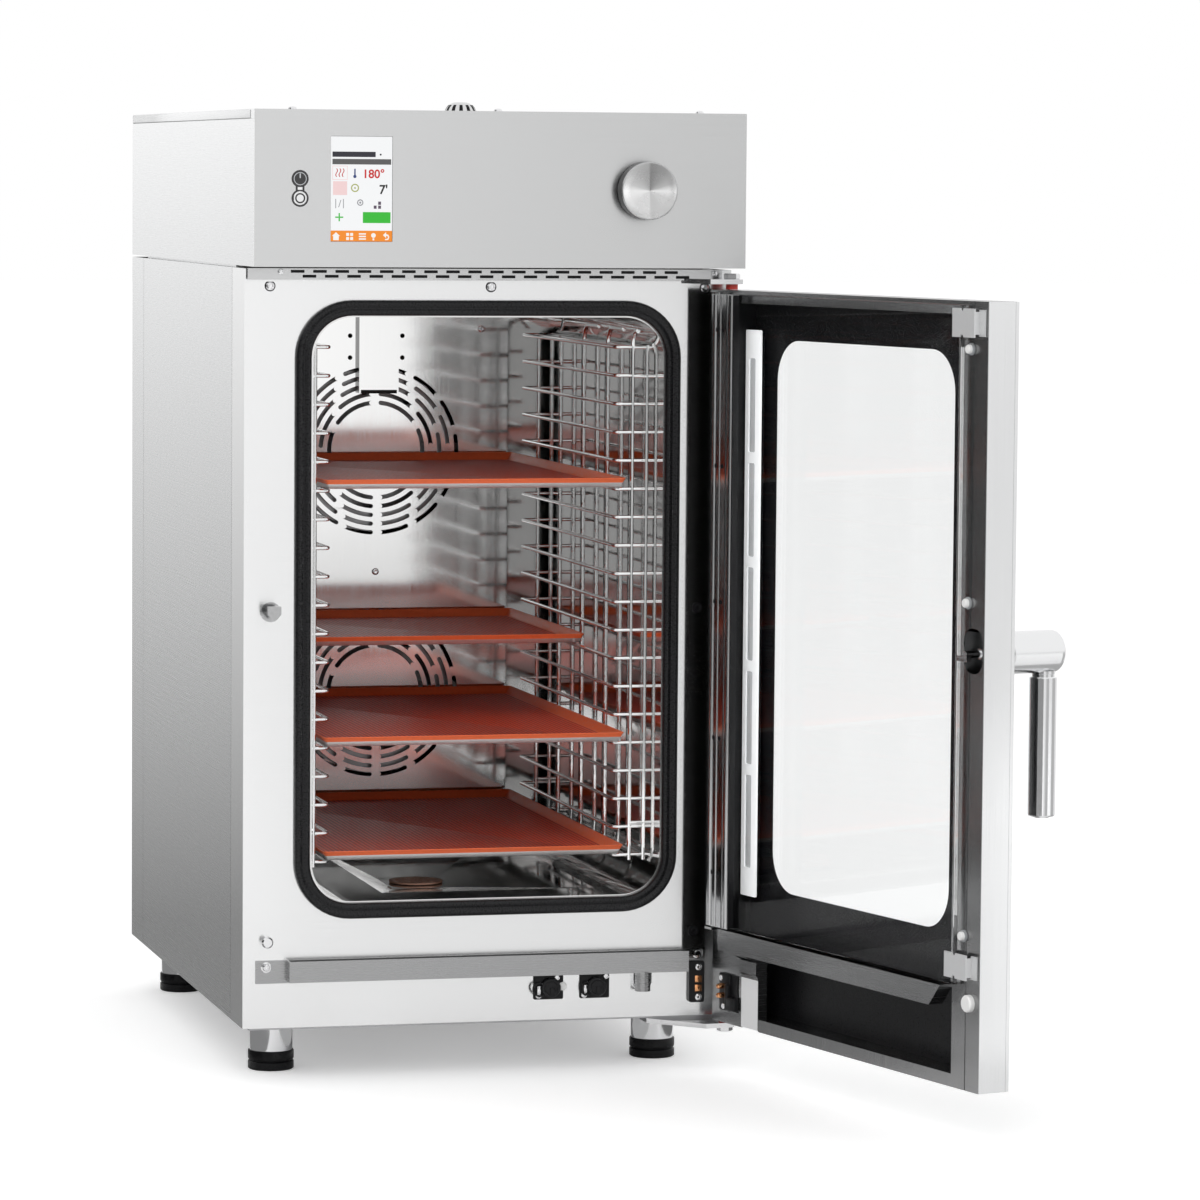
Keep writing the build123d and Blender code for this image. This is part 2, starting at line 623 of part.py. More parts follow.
def drain_pipe():
    """From the cavity floor down, and back to a round outlet behind the rear panel."""
    top = (DRAIN_X, DRAIN_Y, CAVITY_LOW - FLOOR_PAN)
    turn = (DRAIN_X, DRAIN_Y, DRAIN_PIPE_Z)
    stub = (DRAIN_X, DRAIN_END - DRAIN_STUB, DRAIN_PIPE_Z)
    end = (DRAIN_X, DRAIN_END, DRAIN_PIPE_Z)
    plane = Plane(origin=top, z_dir=(0, 0, -1))
    outer = plane * RegularPolygon(DRAIN_R, 20)
    inner = plane * RegularPolygon(DRAIN_R - DRAIN_WALL, 16)
    pipe = sweep(outer, Polyline(top, turn, stub), transition=Transition.RIGHT)
    bore = sweep(inner, Polyline(top, turn, end), transition=Transition.RIGHT)
    return fuse([pipe, rod(stub, end, DRAIN_R)]) - bore


def head_housing():
    """The control box, standing on two rails; the front panel and the lid close it."""
    y = (-HEAD_OVERHANG + SHEET, BODY_DEPTH)
    top = HEAD_TOP - LID_SKIRT
    outer = block((-HALF, HALF), y, (HEAD_BASE, top))
    x = (-HALF + SHEET, HALF - SHEET)
    inner = block(x, (y[0] - 1, y[1] - SHEET), (HEAD_BASE + SHEET, top + 1))
    flue = prism((FLUE_X, FLUE_Y, HEAD_BASE - 1), (FLUE_X, FLUE_Y, HEAD_BASE + 3), FLUE_R + 1, 16)
    rails_y = (FRONT_RETURN + 2 * PANEL_JOINT, BODY_DEPTH - BACK_RETURN - 2 * PANEL_JOINT)
    rails = [
        block((side * (HALF - CASING_LIP), side * (HALF - 3 * SHEET)), rails_y, (BODY_TOP, HEAD_BASE))
        for side in (-1, 1)
    ]
    return fuse([outer - inner, *rails]) - flue


def head_lid():
    y = (-HEAD_OVERHANG, BODY_DEPTH)
    low = HEAD_TOP - LID_SKIRT
    outer = block((-HALF, HALF), y, (low, HEAD_TOP))
    x = (-HALF + SHEET, HALF - SHEET)
    inner = block(x, (y[0] + SHEET, y[1] - SHEET), (low - 1, HEAD_TOP - SHEET))
    flue = prism((FLUE_X, FLUE_Y, HEAD_TOP - 5), (FLUE_X, FLUE_Y, HEAD_TOP + 1), FLUE_R + 1, 16)
    return outer - inner - flue


def head_front_panel():
    sheet = rectangle((-HALF, HALF), (HEAD_BASE, HEAD_TOP - LID_SKIRT))
    sheet -= rectangle(DISPLAY_X, DISPLAY_Z)
    sheet -= Pos(BUTTON_X, BUTTON_Z + BUTTON_SPACING / 2) * bezel_outline(0)
    sheet -= Pos(KNOB_X, KNOB_Z) * Circle(KNOB_SHAFT_R + 2)
    plate = face_on(-HEAD_OVERHANG + SHEET, sheet, SHEET)
    y = (-HEAD_OVERHANG + SHEET, -HEAD_OVERHANG + 14)
    x = (-HALF + SHEET + 1, HALF - SHEET - 1)
    lip = block(x, y, (HEAD_BASE + SHEET, HEAD_BASE + 2 * SHEET))
    return fuse([plate, lip])


def bezel_outline(grow):
    return Rot(0, 0, 90) * SlotCenterToCenter(BUTTON_SPACING, 2 * (BUTTON_R + BEZEL_EDGE + grow))


def button_bezel():
    """A stadium frame round the power button and the lamp above it."""
    outline = Pos(BUTTON_X, BUTTON_Z + BUTTON_SPACING / 2) * bezel_outline(0)
    hole = Pos(BUTTON_X, BUTTON_Z) * RegularPolygon(BUTTON_R, BUTTON_SIDES)
    return face_on(-HEAD_OVERHANG + 10, outline - hole, 10.8)


def power_button():
    outline = Pos(BUTTON_X, BUTTON_Z) * RegularPolygon(BUTTON_R - RUNNING_FIT, BUTTON_SIDES)
    return face_on(-HEAD_OVERHANG + 8, outline, 8 + 0.8 + BUTTON_TRAVEL)


def display_screen():
    """A pane that fills the panel's window, on the screen's wider body behind."""
    front = -HEAD_OVERHANG + DISPLAY_SET_BACK
    middle = front + DISPLAY_PANE
    fit, lap = -PANEL_JOINT / 5, 4
    pane = block(widened(DISPLAY_X, fit), (front, middle), widened(DISPLAY_Z, fit))
    body = block(widened(DISPLAY_X, lap), (middle - 0.5, middle + 9), widened(DISPLAY_Z, lap))
    return fuse([pane, body])


def control_knob():
    """A round dial that turns on the shaft in front of the panel."""
    back = -HEAD_OVERHANG - KNOB_GAP
    dial = prism((KNOB_X, back - KNOB_DEPTH, KNOB_Z), (KNOB_X, back, KNOB_Z), KNOB_R, KNOB_SIDES)
    bore_r = KNOB_SHAFT_R + RUNNING_FIT
    return dial - rod((KNOB_X, back - KNOB_BORE, KNOB_Z), (KNOB_X, back + 1, KNOB_Z), bore_r)


def encoder_plunger():
    """The square slide behind the panel, with the shaft that carries the knob."""
    back = PLUNGER_Y + PLUNGER_DEPTH
    slide = face_on(back, Pos(KNOB_X, KNOB_Z) * Rectangle(PLUNGER, PLUNGER), PLUNGER_DEPTH)
    tip = -HEAD_OVERHANG - KNOB_GAP - KNOB_BORE
    shaft = rod((KNOB_X, tip, KNOB_Z), (KNOB_X, PLUNGER_Y + 1, KNOB_Z), KNOB_SHAFT_R)
    return fuse([slide, shaft])


def control_board():
    """The board behind the panel, with the switch body that guides the knob's slide."""
    y = BOARD_Y
    board = block(BOARD_X, (y, y + 2), (HEAD_BASE + 22, HEAD_TOP - 24))
    guide = PLUNGER + 2 * RUNNING_FIT
    switch = face_on(y, Pos(KNOB_X, KNOB_Z) * (Rectangle(26, 26) - Rectangle(guide, guide)), 16)
    foot = block(BOARD_X, (y, y + 2), (HEAD_BASE + SHEET, HEAD_BASE + 24))
    chip_z = (KNOB_Z, KNOB_Z + CHIP_SIZE)
    chips = [block((x, x + CHIP_SIZE), (y + 1, y + 14), chip_z) for x in CHIP_XS]
    return fuse([board, switch, foot, *chips])


def flue_chimney():
    """From the chamber's roof up through the head to a short round outlet."""
    low, high = (FLUE_X, FLUE_Y, CAVITY_HIGH + SHEET), (FLUE_X, FLUE_Y, FLUE_TOP)
    stub = (FLUE_X, FLUE_Y, FLUE_TOP - FLUE_STUB)
    pipe = fuse([prism(low, stub, FLUE_R, 20), rod(stub, high, FLUE_R)])
    return pipe - prism(low, high, FLUE_R - SHEET, 16)


def hinge_plates():
    """Two cranked plates that carry the door's pins in front of the frame."""
    reach = HINGE_Y - 14
    right = HINGE_X + 8
    left = HINGE_X - 76
    top = Polygon((right, reach), (right, 0), (TOP_PLATE_X, 0), (HINGE_X - 27, reach), align=None)
    outline = (right, reach + 4), (right, 34), (left, 34), (left, 6), (HINGE_X - 24, reach)
    bottom = Polygon(*outline, align=None)
    high = extrude(Pos(0, 0, PLATE_HIGH) * top, PLATE)
    low = extrude(Pos(0, 0, PLATE_LOW) * bottom, PLATE)
    holes = Pos(HINGE_X, HINGE_Y, 0)
    high -= holes * Pos(0, 0, PLATE_HIGH + PLATE / 2) * Cylinder(PIN_R, 2 * PLATE)
    low -= holes * Pos(0, 0, PLATE_LOW + PLATE / 2) * Cylinder(PIN_R, 2 * PLATE)
    return group([high, low])


def hinge_pins():
    centre = (HINGE_X, HINGE_Y)
    top = rod((*centre, DOOR_HIGH - 11), (*centre, PLATE_HIGH + PLATE + 1), PIN_R)
    nut = extrude(Pos(*centre, PLATE_HIGH + PLATE) * RegularPolygon(8.5, 6), 6)
    bottom = rod((*centre, PLATE_LOW - 1), (*centre, DOOR_LOW + 11), PIN_R)
    head = extrude(Pos(*centre, PLATE_LOW) * RegularPolygon(8.5, 6), -5)
    return group([fuse([top, nut]), fuse([bottom, head])])


def hinge_bushings():
    """Collars on the pins that keep the door off the plates."""
    centre = (HINGE_X, HINGE_Y)
    spans = ((DOOR_HIGH + DOOR_PLAY, PLATE_HIGH), (PLATE_LOW + PLATE, DOOR_LOW - DOOR_PLAY))
    collars = []
    for low, high in spans:
        outer = prism((*centre, low), (*centre, high), PIN_R + 3.5, 16)
        collars.append(outer - rod((*centre, low), (*centre, high), PIN_R))
    return group(collars)


def condensate_gutter():
    """An open channel on two screw tabs, with a half-round spout under its low end."""
    outer = block(GUTTER_X, (-GUTTER_DEPTH, 0), GUTTER_Z)
    x = (GUTTER_X[0] + SHEET, GUTTER_X[1] - SHEET)
    inner = block(x, (-GUTTER_DEPTH + SHEET, -SHEET), (GUTTER_Z[0] + SHEET, GUTTER_Z[1] + 1))
    tabs = [
        block((x0, x1), (-SHEET, 0), (GUTTER_Z[0] - 2, GUTTER_Z[1]))
        for x0, x1 in ((GUTTER_TABS[0], GUTTER_X[0] + 1), (GUTTER_X[1] - 1, GUTTER_TABS[1]))
    ]
    low = GUTTER_Z[0] - 20
    spout = prism((SPOUT_X, -9, low), (SPOUT_X, -9, GUTTER_Z[0] + 1), SPOUT_R, 12)
    mouth = prism((SPOUT_X, -9, low - 1), (SPOUT_X, -9, GUTTER_Z[0] + SHEET + 1), SPOUT_R - SHEET, 12)
    return fuse([outer - inner, *tabs, spout]) - mouth


def service_sockets():
    """Square flanges with a short neck, for a probe and a data lead."""
    sockets = []
    for x in SOCKET_XS:
        flange = face_on(0, Pos(x, SOCKET_Z) * Rectangle(*SOCKET_SIZE), SOCKET_FLANGE)
        neck = prism((x, -2, SOCKET_Z), (x, -6, SOCKET_Z), 9, 16)
        sockets.append(fuse([flange, neck]) - prism((x, -10, SOCKET_Z), (x, -1.5, SOCKET_Z), 5, 12))
    return group(sockets)


def socket_cap(x):
    """A round cap on a strap that hinges beside the flange."""
    across, y = CAP_HINGE
    hinge = x + across
    cap = prism((x, -6.3, SOCKET_Z), (x, -11, SOCKET_Z), CAP_R, 20)
    strap = block((hinge, x - CAP_R + 2.5), (y - 1, y + 1), (SOCKET_Z - 3, SOCKET_Z + 3))
    knuckle = rod((hinge, y, SOCKET_Z - 4), (hinge, y, SOCKET_Z + 4), 2)
    return fuse([cap, strap, knuckle])


def water_valve():
    """A solenoid valve behind the rear panel, with its threaded inlet outside."""
    back = BODY_DEPTH
    flange = block((INLET_X - 20, INLET_X + 20), (back, back + 3), (INLET_Z - 20, INLET_Z + 20))
    inlet = rod((INLET_X, back + 2, INLET_Z), (INLET_X, INLET_END, INLET_Z), INLET_R)
    neck = prism((INLET_X, back - 30, INLET_Z), (INLET_X, back + 1, INLET_Z), INLET_R - 1, 12)
    bore = prism((INLET_X, back - 20, INLET_Z), (INLET_X, INLET_END + 1, INLET_Z), INLET_R - 4, 12)
    coil = block((INLET_X - 18, INLET_X + 18), (back - 45, back - 15), (INLET_Z, INLET_Z + 50))
    return fuse([flange, inlet, neck, coil]) - bore


def cable_gland():
    nut = face_on(BODY_DEPTH + 8, Pos(GLAND_X, GLAND_Z) * RegularPolygon(GLAND_BORE + 7, 6), 8)
    ends = (GLAND_X, BODY_DEPTH - 12, GLAND_Z), (GLAND_X, BODY_DEPTH + 16, GLAND_Z)
    neck = prism(*ends, GLAND_BORE + 3, 12)
    return fuse([nut, neck]) - rod(*ends, GLAND_BORE)


def contact_block():
    """The lighting contact on the frame, with two flat copper pads."""
    width, height = CONTACT_SIZE
    x = (CONTACT_X - width / 2, CONTACT_X + width / 2)
    z = (CONTACT_Z - height / 2, CONTACT_Z + height / 2)
    pads = [
        block((x[0] + 2, x[1] - 2), (-CONTACT_DEPTH - 0.5, -CONTACT_DEPTH + 1), (low, low + 8))
        for low in (CONTACT_Z - CONTACT_PITCH, CONTACT_Z + CONTACT_PITCH - 8)
    ]
    return fuse([block(x, (-CONTACT_DEPTH, 0), z), *pads])


def door_striker():
    """A pointed catch on a round base."""
    x, z = STRIKER_X, STRIKER_Z
    base = prism((x, 0, z), (x, -3, z), 10.5, 16)
    stem = prism((x, 0, z), (x, DOOR_BACK, z), 4.5, 12)
    width, height = STRIKER_HEAD
    low, shoulder, high = z - 8.2, z - 1.2, z - 8.2 + height
    left, right = x - width / 2, x + width / 2
    outline = Polygon((x, low), (right, shoulder), (right, high), (left, high), (left, shoulder), align=None)
    return fuse([base, stem, face_on(DOOR_BACK, outline, 6)])


def leg_tubes():
    """Short legs welded under the base, each threaded for its foot's stud."""
    low, high = FOOT_HEIGHT, BODY_BASE - BASE_DROP
    pieces = []
    for x in (-FOOT_X, FOOT_X):
        for y in FOOT_Y:
            leg = prism((x, y, low), (x, y, high), LEG_R, LEG_SIDES)
            pieces.append(leg - prism((x, y, low), (x, y, high), STUD_R + RUNNING_FIT, STUD_SIDES))
    return group(pieces)


def foot(x, y):
    """A round pad under a narrower collar, on a stud that screws up into the leg."""
    pad = rod((x, y, 0), (x, y, FOOT_HEIGHT - 5), FOOT_R)
    collar = prism((x, y, FOOT_HEIGHT - 6), (x, y, FOOT_HEIGHT - FOOT_GAP), LEG_R - 2, 12)
    stud = prism((x, y, FOOT_HEIGHT - 1), (x, y, STUD_TOP), STUD_R, STUD_SIDES)
    return fuse([pad, collar, stud])


def screw(x, y, z, radius=3.6, height=2.2):
    """A low round head facing forward."""
    return face_on(y, Pos(x, z) * RegularPolygon(radius, 8), height)


def frame_screws():
    """Screw heads that show on the front, and the pin that stops the door."""
    heads = [screw(x, 0, z) for x, z in FRAME_SCREWS]
    heads += [screw(x, -SHEET, z) for x, z in TAB_SCREWS]
    heads += [screw(x, BAFFLE_Y, z) for x, z in baffle_fixings()]
    across, up = SOCKET_SIZE[0] / 2 - 4, SOCKET_SIZE[1] / 2 - 4
    for x in SOCKET_XS:
        for turn in (-1, 1):
            heads.append(screw(x + turn * across, -SOCKET_FLANGE, SOCKET_Z + turn * up, 2.4, 1.5))
    up = CONTACT_SIZE[1] / 2 - 4
    heads += [screw(CONTACT_X, -CONTACT_DEPTH, CONTACT_Z + turn * up, 2.6, 0.4) for turn in (-1, 1)]
    stop = prism((STOP_PIN[0], 0, STOP_PIN[1]), (STOP_PIN[0], -11, STOP_PIN[1]), 6, 12)
    return group([*heads, stop])


def door_frame():
    """A tray-like sheet frame whose open front the outer glass closes."""
    front = DOOR_FRONT + GLASS_OUTER
    depth = (front, DOOR_BACK)
    flange = (DOOR_BACK - SHEET, DOOR_BACK)
    high = (DOOR_LOW, DOOR_HIGH)
    left, right = -HALF + STILE, HALF - HINGE_STILE
    walls = [
        block((-HALF, -HALF + SHEET), depth, high),
        block((left - SHEET, left), depth, high),
        block((right, right + SHEET), depth, high),
        block((HALF - SHEET, HALF), depth, high),
    ]
    flats = [block((-HALF, left), flange, high), block((right, HALF), flange, high)]
    for low, top in ((DOOR_LOW, DOOR_LOW + RAIL), (DOOR_HIGH - RAIL, DOOR_HIGH)):
        flats.append(block((-HALF, HALF), flange, (low, top)))
        walls.append(block((-HALF, HALF), depth, (low, low + SHEET)))
        walls.append(block((-HALF, HALF), depth, (top - SHEET, top)))
    plate = block((LOWER_PLATE[0], HALF), flange, (DOOR_LOW, LOWER_PLATE[1]))
    corners = [
        block((HALF - 17, HALF), (HINGE_Y - 11, DOOR_BACK), (DOOR_HIGH - 12, DOOR_HIGH)),
        block((HALF - 17, HALF), (HINGE_Y - 11, DOOR_BACK), (DOOR_LOW, DOOR_LOW + 12)),
    ]
    lugs = [glass_lug(DOOR_HIGH - LUG, DOOR_HIGH), glass_lug(GLASS_Z[0] - 2 - LUG, GLASS_Z[0] - 2)]
    carrier_y = (LATCH_CARRIER, LATCH_CARRIER + 2)
    carrier = block((-HALF, left), carrier_y, (HANDLE_Z - 20, HANDLE_Z + 20))
    bush = prism((HANDLE_X, front, HANDLE_Z), (HANDLE_X, LATCH_CARRIER + 1, HANDLE_Z), SPINDLE_R + 4, 12)
    frame = fuse([*walls, *flats, plate, *corners, *lugs, carrier, bush])
    chute = block(
        (CHUTE_X[0] - 1, CHUTE_X[1]), (CHUTE_Y[0] - 1, 0), (DOOR_LOW - 1, DOOR_LOW + RAIL + 1)
    )
    width, depth = GROOVE
    groove = block((GROOVE_X - width / 2, GROOVE_X + width / 2), (DOOR_BACK - depth, 0), (0, DOOR_HIGH + 1))
    return frame - [
        chute,
        groove,
        face_on(DOOR_BACK + 1, rounded(RECESS_X, RECESS_Z, 14), 4),
        rod((HINGE_X, HINGE_Y, 0), (HINGE_X, HINGE_Y, DOOR_HIGH + 1), PIN_R + PIN_FIT),
        rod((HANDLE_X, front - 1, HANDLE_Z), (HANDLE_X, LATCH_CARRIER + 3, HANDLE_Z), SPINDLE_R + PIN_FIT),
    ]


def glass_lug(low, high):
    """Carries one pivot of the inner glass."""
    x, y = GLASS_AXIS
    lug = block((x - 7, x + 7), (DOOR_BACK - SHEET, y + 6), (low, high))
    return lug - rod((x, y, low - 1), (x, y, high + 1), GLASS_PIN_R + PIN_FIT)


def outer_glass():
    """The black-edged front glass, clear in the middle."""
    outline = rectangle((-HALF, HALF), (DOOR_LOW, DOOR_HIGH))
    outline -= Pos(HANDLE_X, HANDLE_Z) * RegularPolygon(SPINDLE_R + 1, 12)
    return face_on(DOOR_FRONT + GLASS_OUTER, outline, GLASS_OUTER)


def led_strip():
    bar = block(LED_X, LED_Y, LED_Z)
    bottom = LED_Z[0] + LED_END
    pitch = (LED_Z[1] - LED_END + LED_GAP - bottom) / LED_WINDOWS
    x = (LED_X[0] + LED_EDGES[0], LED_X[1] - LED_EDGES[1])
    y = (LED_Y[1] - 1.5, LED_Y[1] + 1)
    lows = [bottom + n * pitch for n in range(LED_WINDOWS)]
    return bar - [block(x, y, (low, low + pitch - LED_GAP)) for low in lows]


def drip_channel():
    """Catches what runs off the glass and sends it down a chute on the hinge side."""
    low, high = CHANNEL_Z
    front, back = CHANNEL_Y
    start, end = CHANNEL_X
    foot = start + CHANNEL_MITRE
    side = Polygon((foot, low), (end, low), (end, high), (start, high), align=None)
    trough = face_on(back, side, back - front)
    room = Polygon((foot, low + SHEET), (end - SHEET, low + SHEET), (end - SHEET, high + 1),
                   (start + SHEET, high + 1), align=None)
    trough -= face_on(back - SHEET, room, back - front - 2 * SHEET)
    left, right = CHUTE_X
    duct = block(CHUTE_X, CHUTE_Y, (DOOR_LOW + 1, low))
    lip, brim = -GUTTER_DEPTH - 0.6, GUTTER_Z[1] + 0.6
    corners = (front, CHUTE_TOP), (lip, CHUTE_TOP + 3), (lip, brim), (back, low), (front, low)
    wedge = Polygon(*corners, align=None)
    x = (left + SHEET, right - SHEET)
    rear = back - 6
    passage = [
        block(x, (CHUTE_Y[0] + SHEET, CHUTE_Y[1] - SHEET), (DOOR_LOW, low - SHEET)),
        block(x, (front + SHEET, rear), (low - 6, low + SHEET + 1)),
        block(x, (CHUTE_Y[0] + SHEET, rear - 2), (low - 8, low - SHEET)),
    ]
    return fuse([trough, duct, side_on(CHUTE_X, wedge)]) - passage


def door_contact_block():
    """The door's half of the lighting contact, with two sprung copper pins."""
    body = block(DOOR_CONTACT_X, (DOOR_BACK, DOOR_BACK + 8), DOOR_CONTACT_Z)
    x = sum(DOOR_CONTACT_X) / 2
    reach = CONTACT_PITCH - 4
    tips = [
        prism((x, DOOR_BACK + 7, z), (x, -CONTACT_DEPTH - 1, z), CONTACT_PIN_R, 12)
        for z in (CONTACT_Z - reach, CONTACT_Z + reach)
    ]
    return fuse([body, *tips])


def door_buffers():
    """Rubber studs on the inner flange, and the pad that meets the stop pin."""
    studs = [
        prism((BUFFER_X, DOOR_BACK, z), (BUFFER_X, DOOR_BACK + 6, z), BUFFER_R, 12) for z in BUFFER_ZS
    ]
    pad = face_on(DOOR_BACK + 6, Pos(*PAD) * RegularPolygon(PAD_R, 12), 6)
    return group([*studs, pad])


def glass_clips():
    """Two latches on the free edge of the inner glass."""
    clips = []
    fold = CLIP_X[0] + 9
    back = (DOOR_BACK + 0.4, DOOR_BACK + 0.4 + SHEET)
    for low, high in CLIP_Z:
        outline = rectangle((fold, CLIP_X[1]), (low, high))
        outline -= [Pos(GLASS_X[0] - 3, z) * RegularPolygon(3, 8) for z in (low, high)]
        face = face_on(GLASS_Y[1] + SHEET, outline, SHEET)
        cheek = block((fold, fold + SHEET), (back[0], GLASS_Y[1] + SHEET), (low + 3, high - 3))
        lip = block((CLIP_X[0], fold + SHEET), back, (low + 1, high - 1))
        clips.append(fuse([face, cheek, lip]))
    return group(clips)


def inner_glass():
    x, z = GLASS_X, GLASS_Z
    return face_on(GLASS_Y[1], rounded(x, z, 4), GLASS_Y[1] - GLASS_Y[0])


def inner_glass_hinge():
    """The profile along the glass edge that turns on the frame's lugs."""
    x, y = GLASS_AXIS
    front = block(LEAF, (GLASS_Y[1], y + 6), GLASS_Z)
    heel = block((GLASS_X[1] + 0.3, LEAF[1] - 8), (GLASS_Y[0], GLASS_Y[1]), GLASS_Z)
    round_back = rod((x, y, GLASS_Z[0]), (x, y, GLASS_Z[1]), 6)
    groove = block((LEAF[0] + 12, LEAF[0] + 14), (y + 5, y + 7), (GLASS_Z[0] - 1, GLASS_Z[1] + 1))
    pins = [
        rod((x, y, GLASS_Z[1] - 1), (x, y, DOOR_HIGH), GLASS_PIN_R),
        rod((x, y, GLASS_Z[0] - 2 - LUG), (x, y, GLASS_Z[0] + 1), GLASS_PIN_R),
    ]
    return fuse([front - groove, heel, round_back, *pins])


def door_handle():
    """A round hub with a lever hanging from it."""
    start, end = (HANDLE_X, DOOR_FRONT - HUB_GAP, HANDLE_Z), (HANDLE_X, HUB_END, HANDLE_Z)
    hub = prism(start, end, HUB_R, HUB_SIDES)
    hub = chamfer(hub.edges().group_by(Axis.Y)[0], HUB_ROUND)
    top = HANDLE_Z - HUB_R
    collar = prism((HANDLE_X, LEVER_Y, top - 4), (HANDLE_X, LEVER_Y, top + 6), COLLAR_R, 24)
    lever = prism((HANDLE_X, LEVER_Y, LEVER_LOW), (HANDLE_X, LEVER_Y, top - 3.5), LEVER_R, LEVER_SIDES)
    return fuse([hub, collar, lever])


def latch_hook():
    """The spindle behind the hub, and the finger that turns in under the striker."""
    start, end = DOOR_FRONT - HUB_GAP, LATCH_Y[1]
    spindle = rod((HANDLE_X, start, HANDLE_Z), (HANDLE_X, end, HANDLE_Z), SPINDLE_R)
    nut = face_on(LATCH_CARRIER + 6.5, Pos(HANDLE_X, HANDLE_Z) * RegularPolygon(6, 6), 4)
    z = HANDLE_Z - LATCH_DROP
    x = (HANDLE_X - SPINDLE_R, HANDLE_X + LATCH_LENGTH)
    finger = block(x, LATCH_Y, (z - LATCH_HALF, z + LATCH_HALF))
    return fuse([spindle, nut, finger])


CABINET = {
    "casing_left": side_casing(-1),
    "casing_right": side_casing(1),
    "casing_back": back_casing(),
    "base_plate": base_plate(),
    "front_frame": front_frame(),
    "cavity_liner": cavity_liner(),
    "door_gasket": door_seal(),
    "insulation": insulation(),
    "fan_baffle": fan_baffle(),
    "steam_duct": steam_duct(),
    "fan_motors": group([fan_motor(z) for z in FAN_HEIGHTS]),
    "ring_heaters": group([heater(z) for z in FAN_HEIGHTS]),
    "side_rack_left": side_rack(LEFT_RACK, ()),
    "side_rack_right": side_rack(RIGHT_RACK, HOOK_REACHES),
    "drain_strainer": drain_strainer(),
    "drain_pipe": drain_pipe(),
    "head_housing": head_housing(),
    "head_lid": head_lid(),
    "head_front_panel": head_front_panel(),
    "display_screen": display_screen(),
    "button_bezel": button_bezel(),
    "flue_chimney": flue_chimney(),
    "water_valve": water_valve(),
    "control_board": control_board(),
    "cable_gland": cable_gland(),
    "hinge_plates": hinge_plates(),
    "hinge_pins": hinge_pins(),
    "hinge_bushings": hinge_bushings(),
    "condensate_gutter": condensate_gutter(),
    "service_sockets": service_sockets(),
    "contact_block": contact_block(),
    "door_striker": door_striker(),
    "leg_tubes": leg_tubes(),
    "frame_screws": frame_screws(),
    "socket_cap_left": socket_cap(SOCKET_XS[0]),
    "socket_cap_right": socket_cap(SOCKET_XS[1]),
    "fan_wheel_upper": fan_wheel(FAN_HEIGHTS[0]),
    "fan_wheel_lower": fan_wheel(FAN_HEIGHTS[1]),
    "power_button": power_button(),
    "encoder_plunger": encoder_plunger(),
    "control_knob": control_knob(),
}
for number, (rung, length) in enumerate(zip(TRAY_RUNGS, TRAY_LENGTHS), 1):
    CABINET[f"tray_{number}"] = tray(rung, length)
for place, y in zip(("front", "rear"), FOOT_Y):
    for side, x in (("left", -FOOT_X), ("right", FOOT_X)):
        CABINET[f"foot_{place}_{side}"] = foot(x, y)
DOOR = {
    "door_frame": door_frame(),
    "outer_glass": outer_glass(),
    "led_strip": led_strip(),
    "door_contact_block": door_contact_block(),
    "drip_channel": drip_channel(),
    "door_buffers": door_buffers(),
    "glass_clips": glass_clips(),
    "inner_glass": inner_glass(),
    "inner_glass_hinge": inner_glass_hinge(),
    "door_handle": door_handle(),
    "latch_hook": latch_hook(),
}
for node, shape in CABINET.items():
    export(node, shape)
for node, shape in DOOR.items():
    export(node, swing(shape))
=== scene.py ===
import json
from math import asin, copysign, cos, degrees, pi, radians, sin
import bmesh
import bpy
from mathutils import Matrix, Vector

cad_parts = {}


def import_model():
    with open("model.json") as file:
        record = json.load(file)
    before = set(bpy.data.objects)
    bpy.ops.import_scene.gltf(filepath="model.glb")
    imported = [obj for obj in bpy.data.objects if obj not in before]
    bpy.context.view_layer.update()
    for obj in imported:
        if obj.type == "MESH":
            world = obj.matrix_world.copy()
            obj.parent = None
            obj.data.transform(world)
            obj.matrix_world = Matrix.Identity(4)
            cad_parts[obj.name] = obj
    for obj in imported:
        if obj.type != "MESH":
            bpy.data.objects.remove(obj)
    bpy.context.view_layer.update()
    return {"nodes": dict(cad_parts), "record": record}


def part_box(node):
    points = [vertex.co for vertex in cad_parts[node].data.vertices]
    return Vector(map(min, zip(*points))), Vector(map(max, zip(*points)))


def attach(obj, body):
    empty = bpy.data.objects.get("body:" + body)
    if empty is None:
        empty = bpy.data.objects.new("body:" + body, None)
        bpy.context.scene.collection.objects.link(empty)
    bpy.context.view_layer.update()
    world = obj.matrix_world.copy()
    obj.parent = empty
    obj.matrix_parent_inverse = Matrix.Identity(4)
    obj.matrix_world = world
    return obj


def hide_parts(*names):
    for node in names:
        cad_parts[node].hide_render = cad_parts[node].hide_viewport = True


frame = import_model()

# Millimetres from the cabinet's front plane are used below, and place() turns them into the frame.
# The door's pieces are written in its shut place, and SWING carries them to the open door.
NODES = frame["nodes"]
LEDGE = 4.0
FRONT_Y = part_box("front_frame")[0].y + LEDGE / 1000
HALF = -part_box("front_frame")[0].x * 1000
DOOR_OPEN = radians(104.5)
HINGE_INSET, HINGE_Y = 7.5, -30
HINGE_X = 252
DOOR_Z = (59, 829)
PANE_Z = (162, 825)
SCREEN_X, SCREEN_Z = (-180.5, -116), (877.5, 985)
KNOB_AT = (150.5, -56.2, 931.5)
BUTTON_AT = (-212.3, 921.5, 941.3)
FLUE_AT = (57, 400, 800.5)
BAFFLE_Y = 578
FAN_HEIGHTS = (631, 352)
BAFFLE_FIXINGS = [(-128, 220), (123, 220), (-128, 770), (123, 770), (0, 491.5)]
LEG_X, LEG_DEPTHS = 209, (("front", 108), ("rear", 668))
SOCKET_Z = 94.7
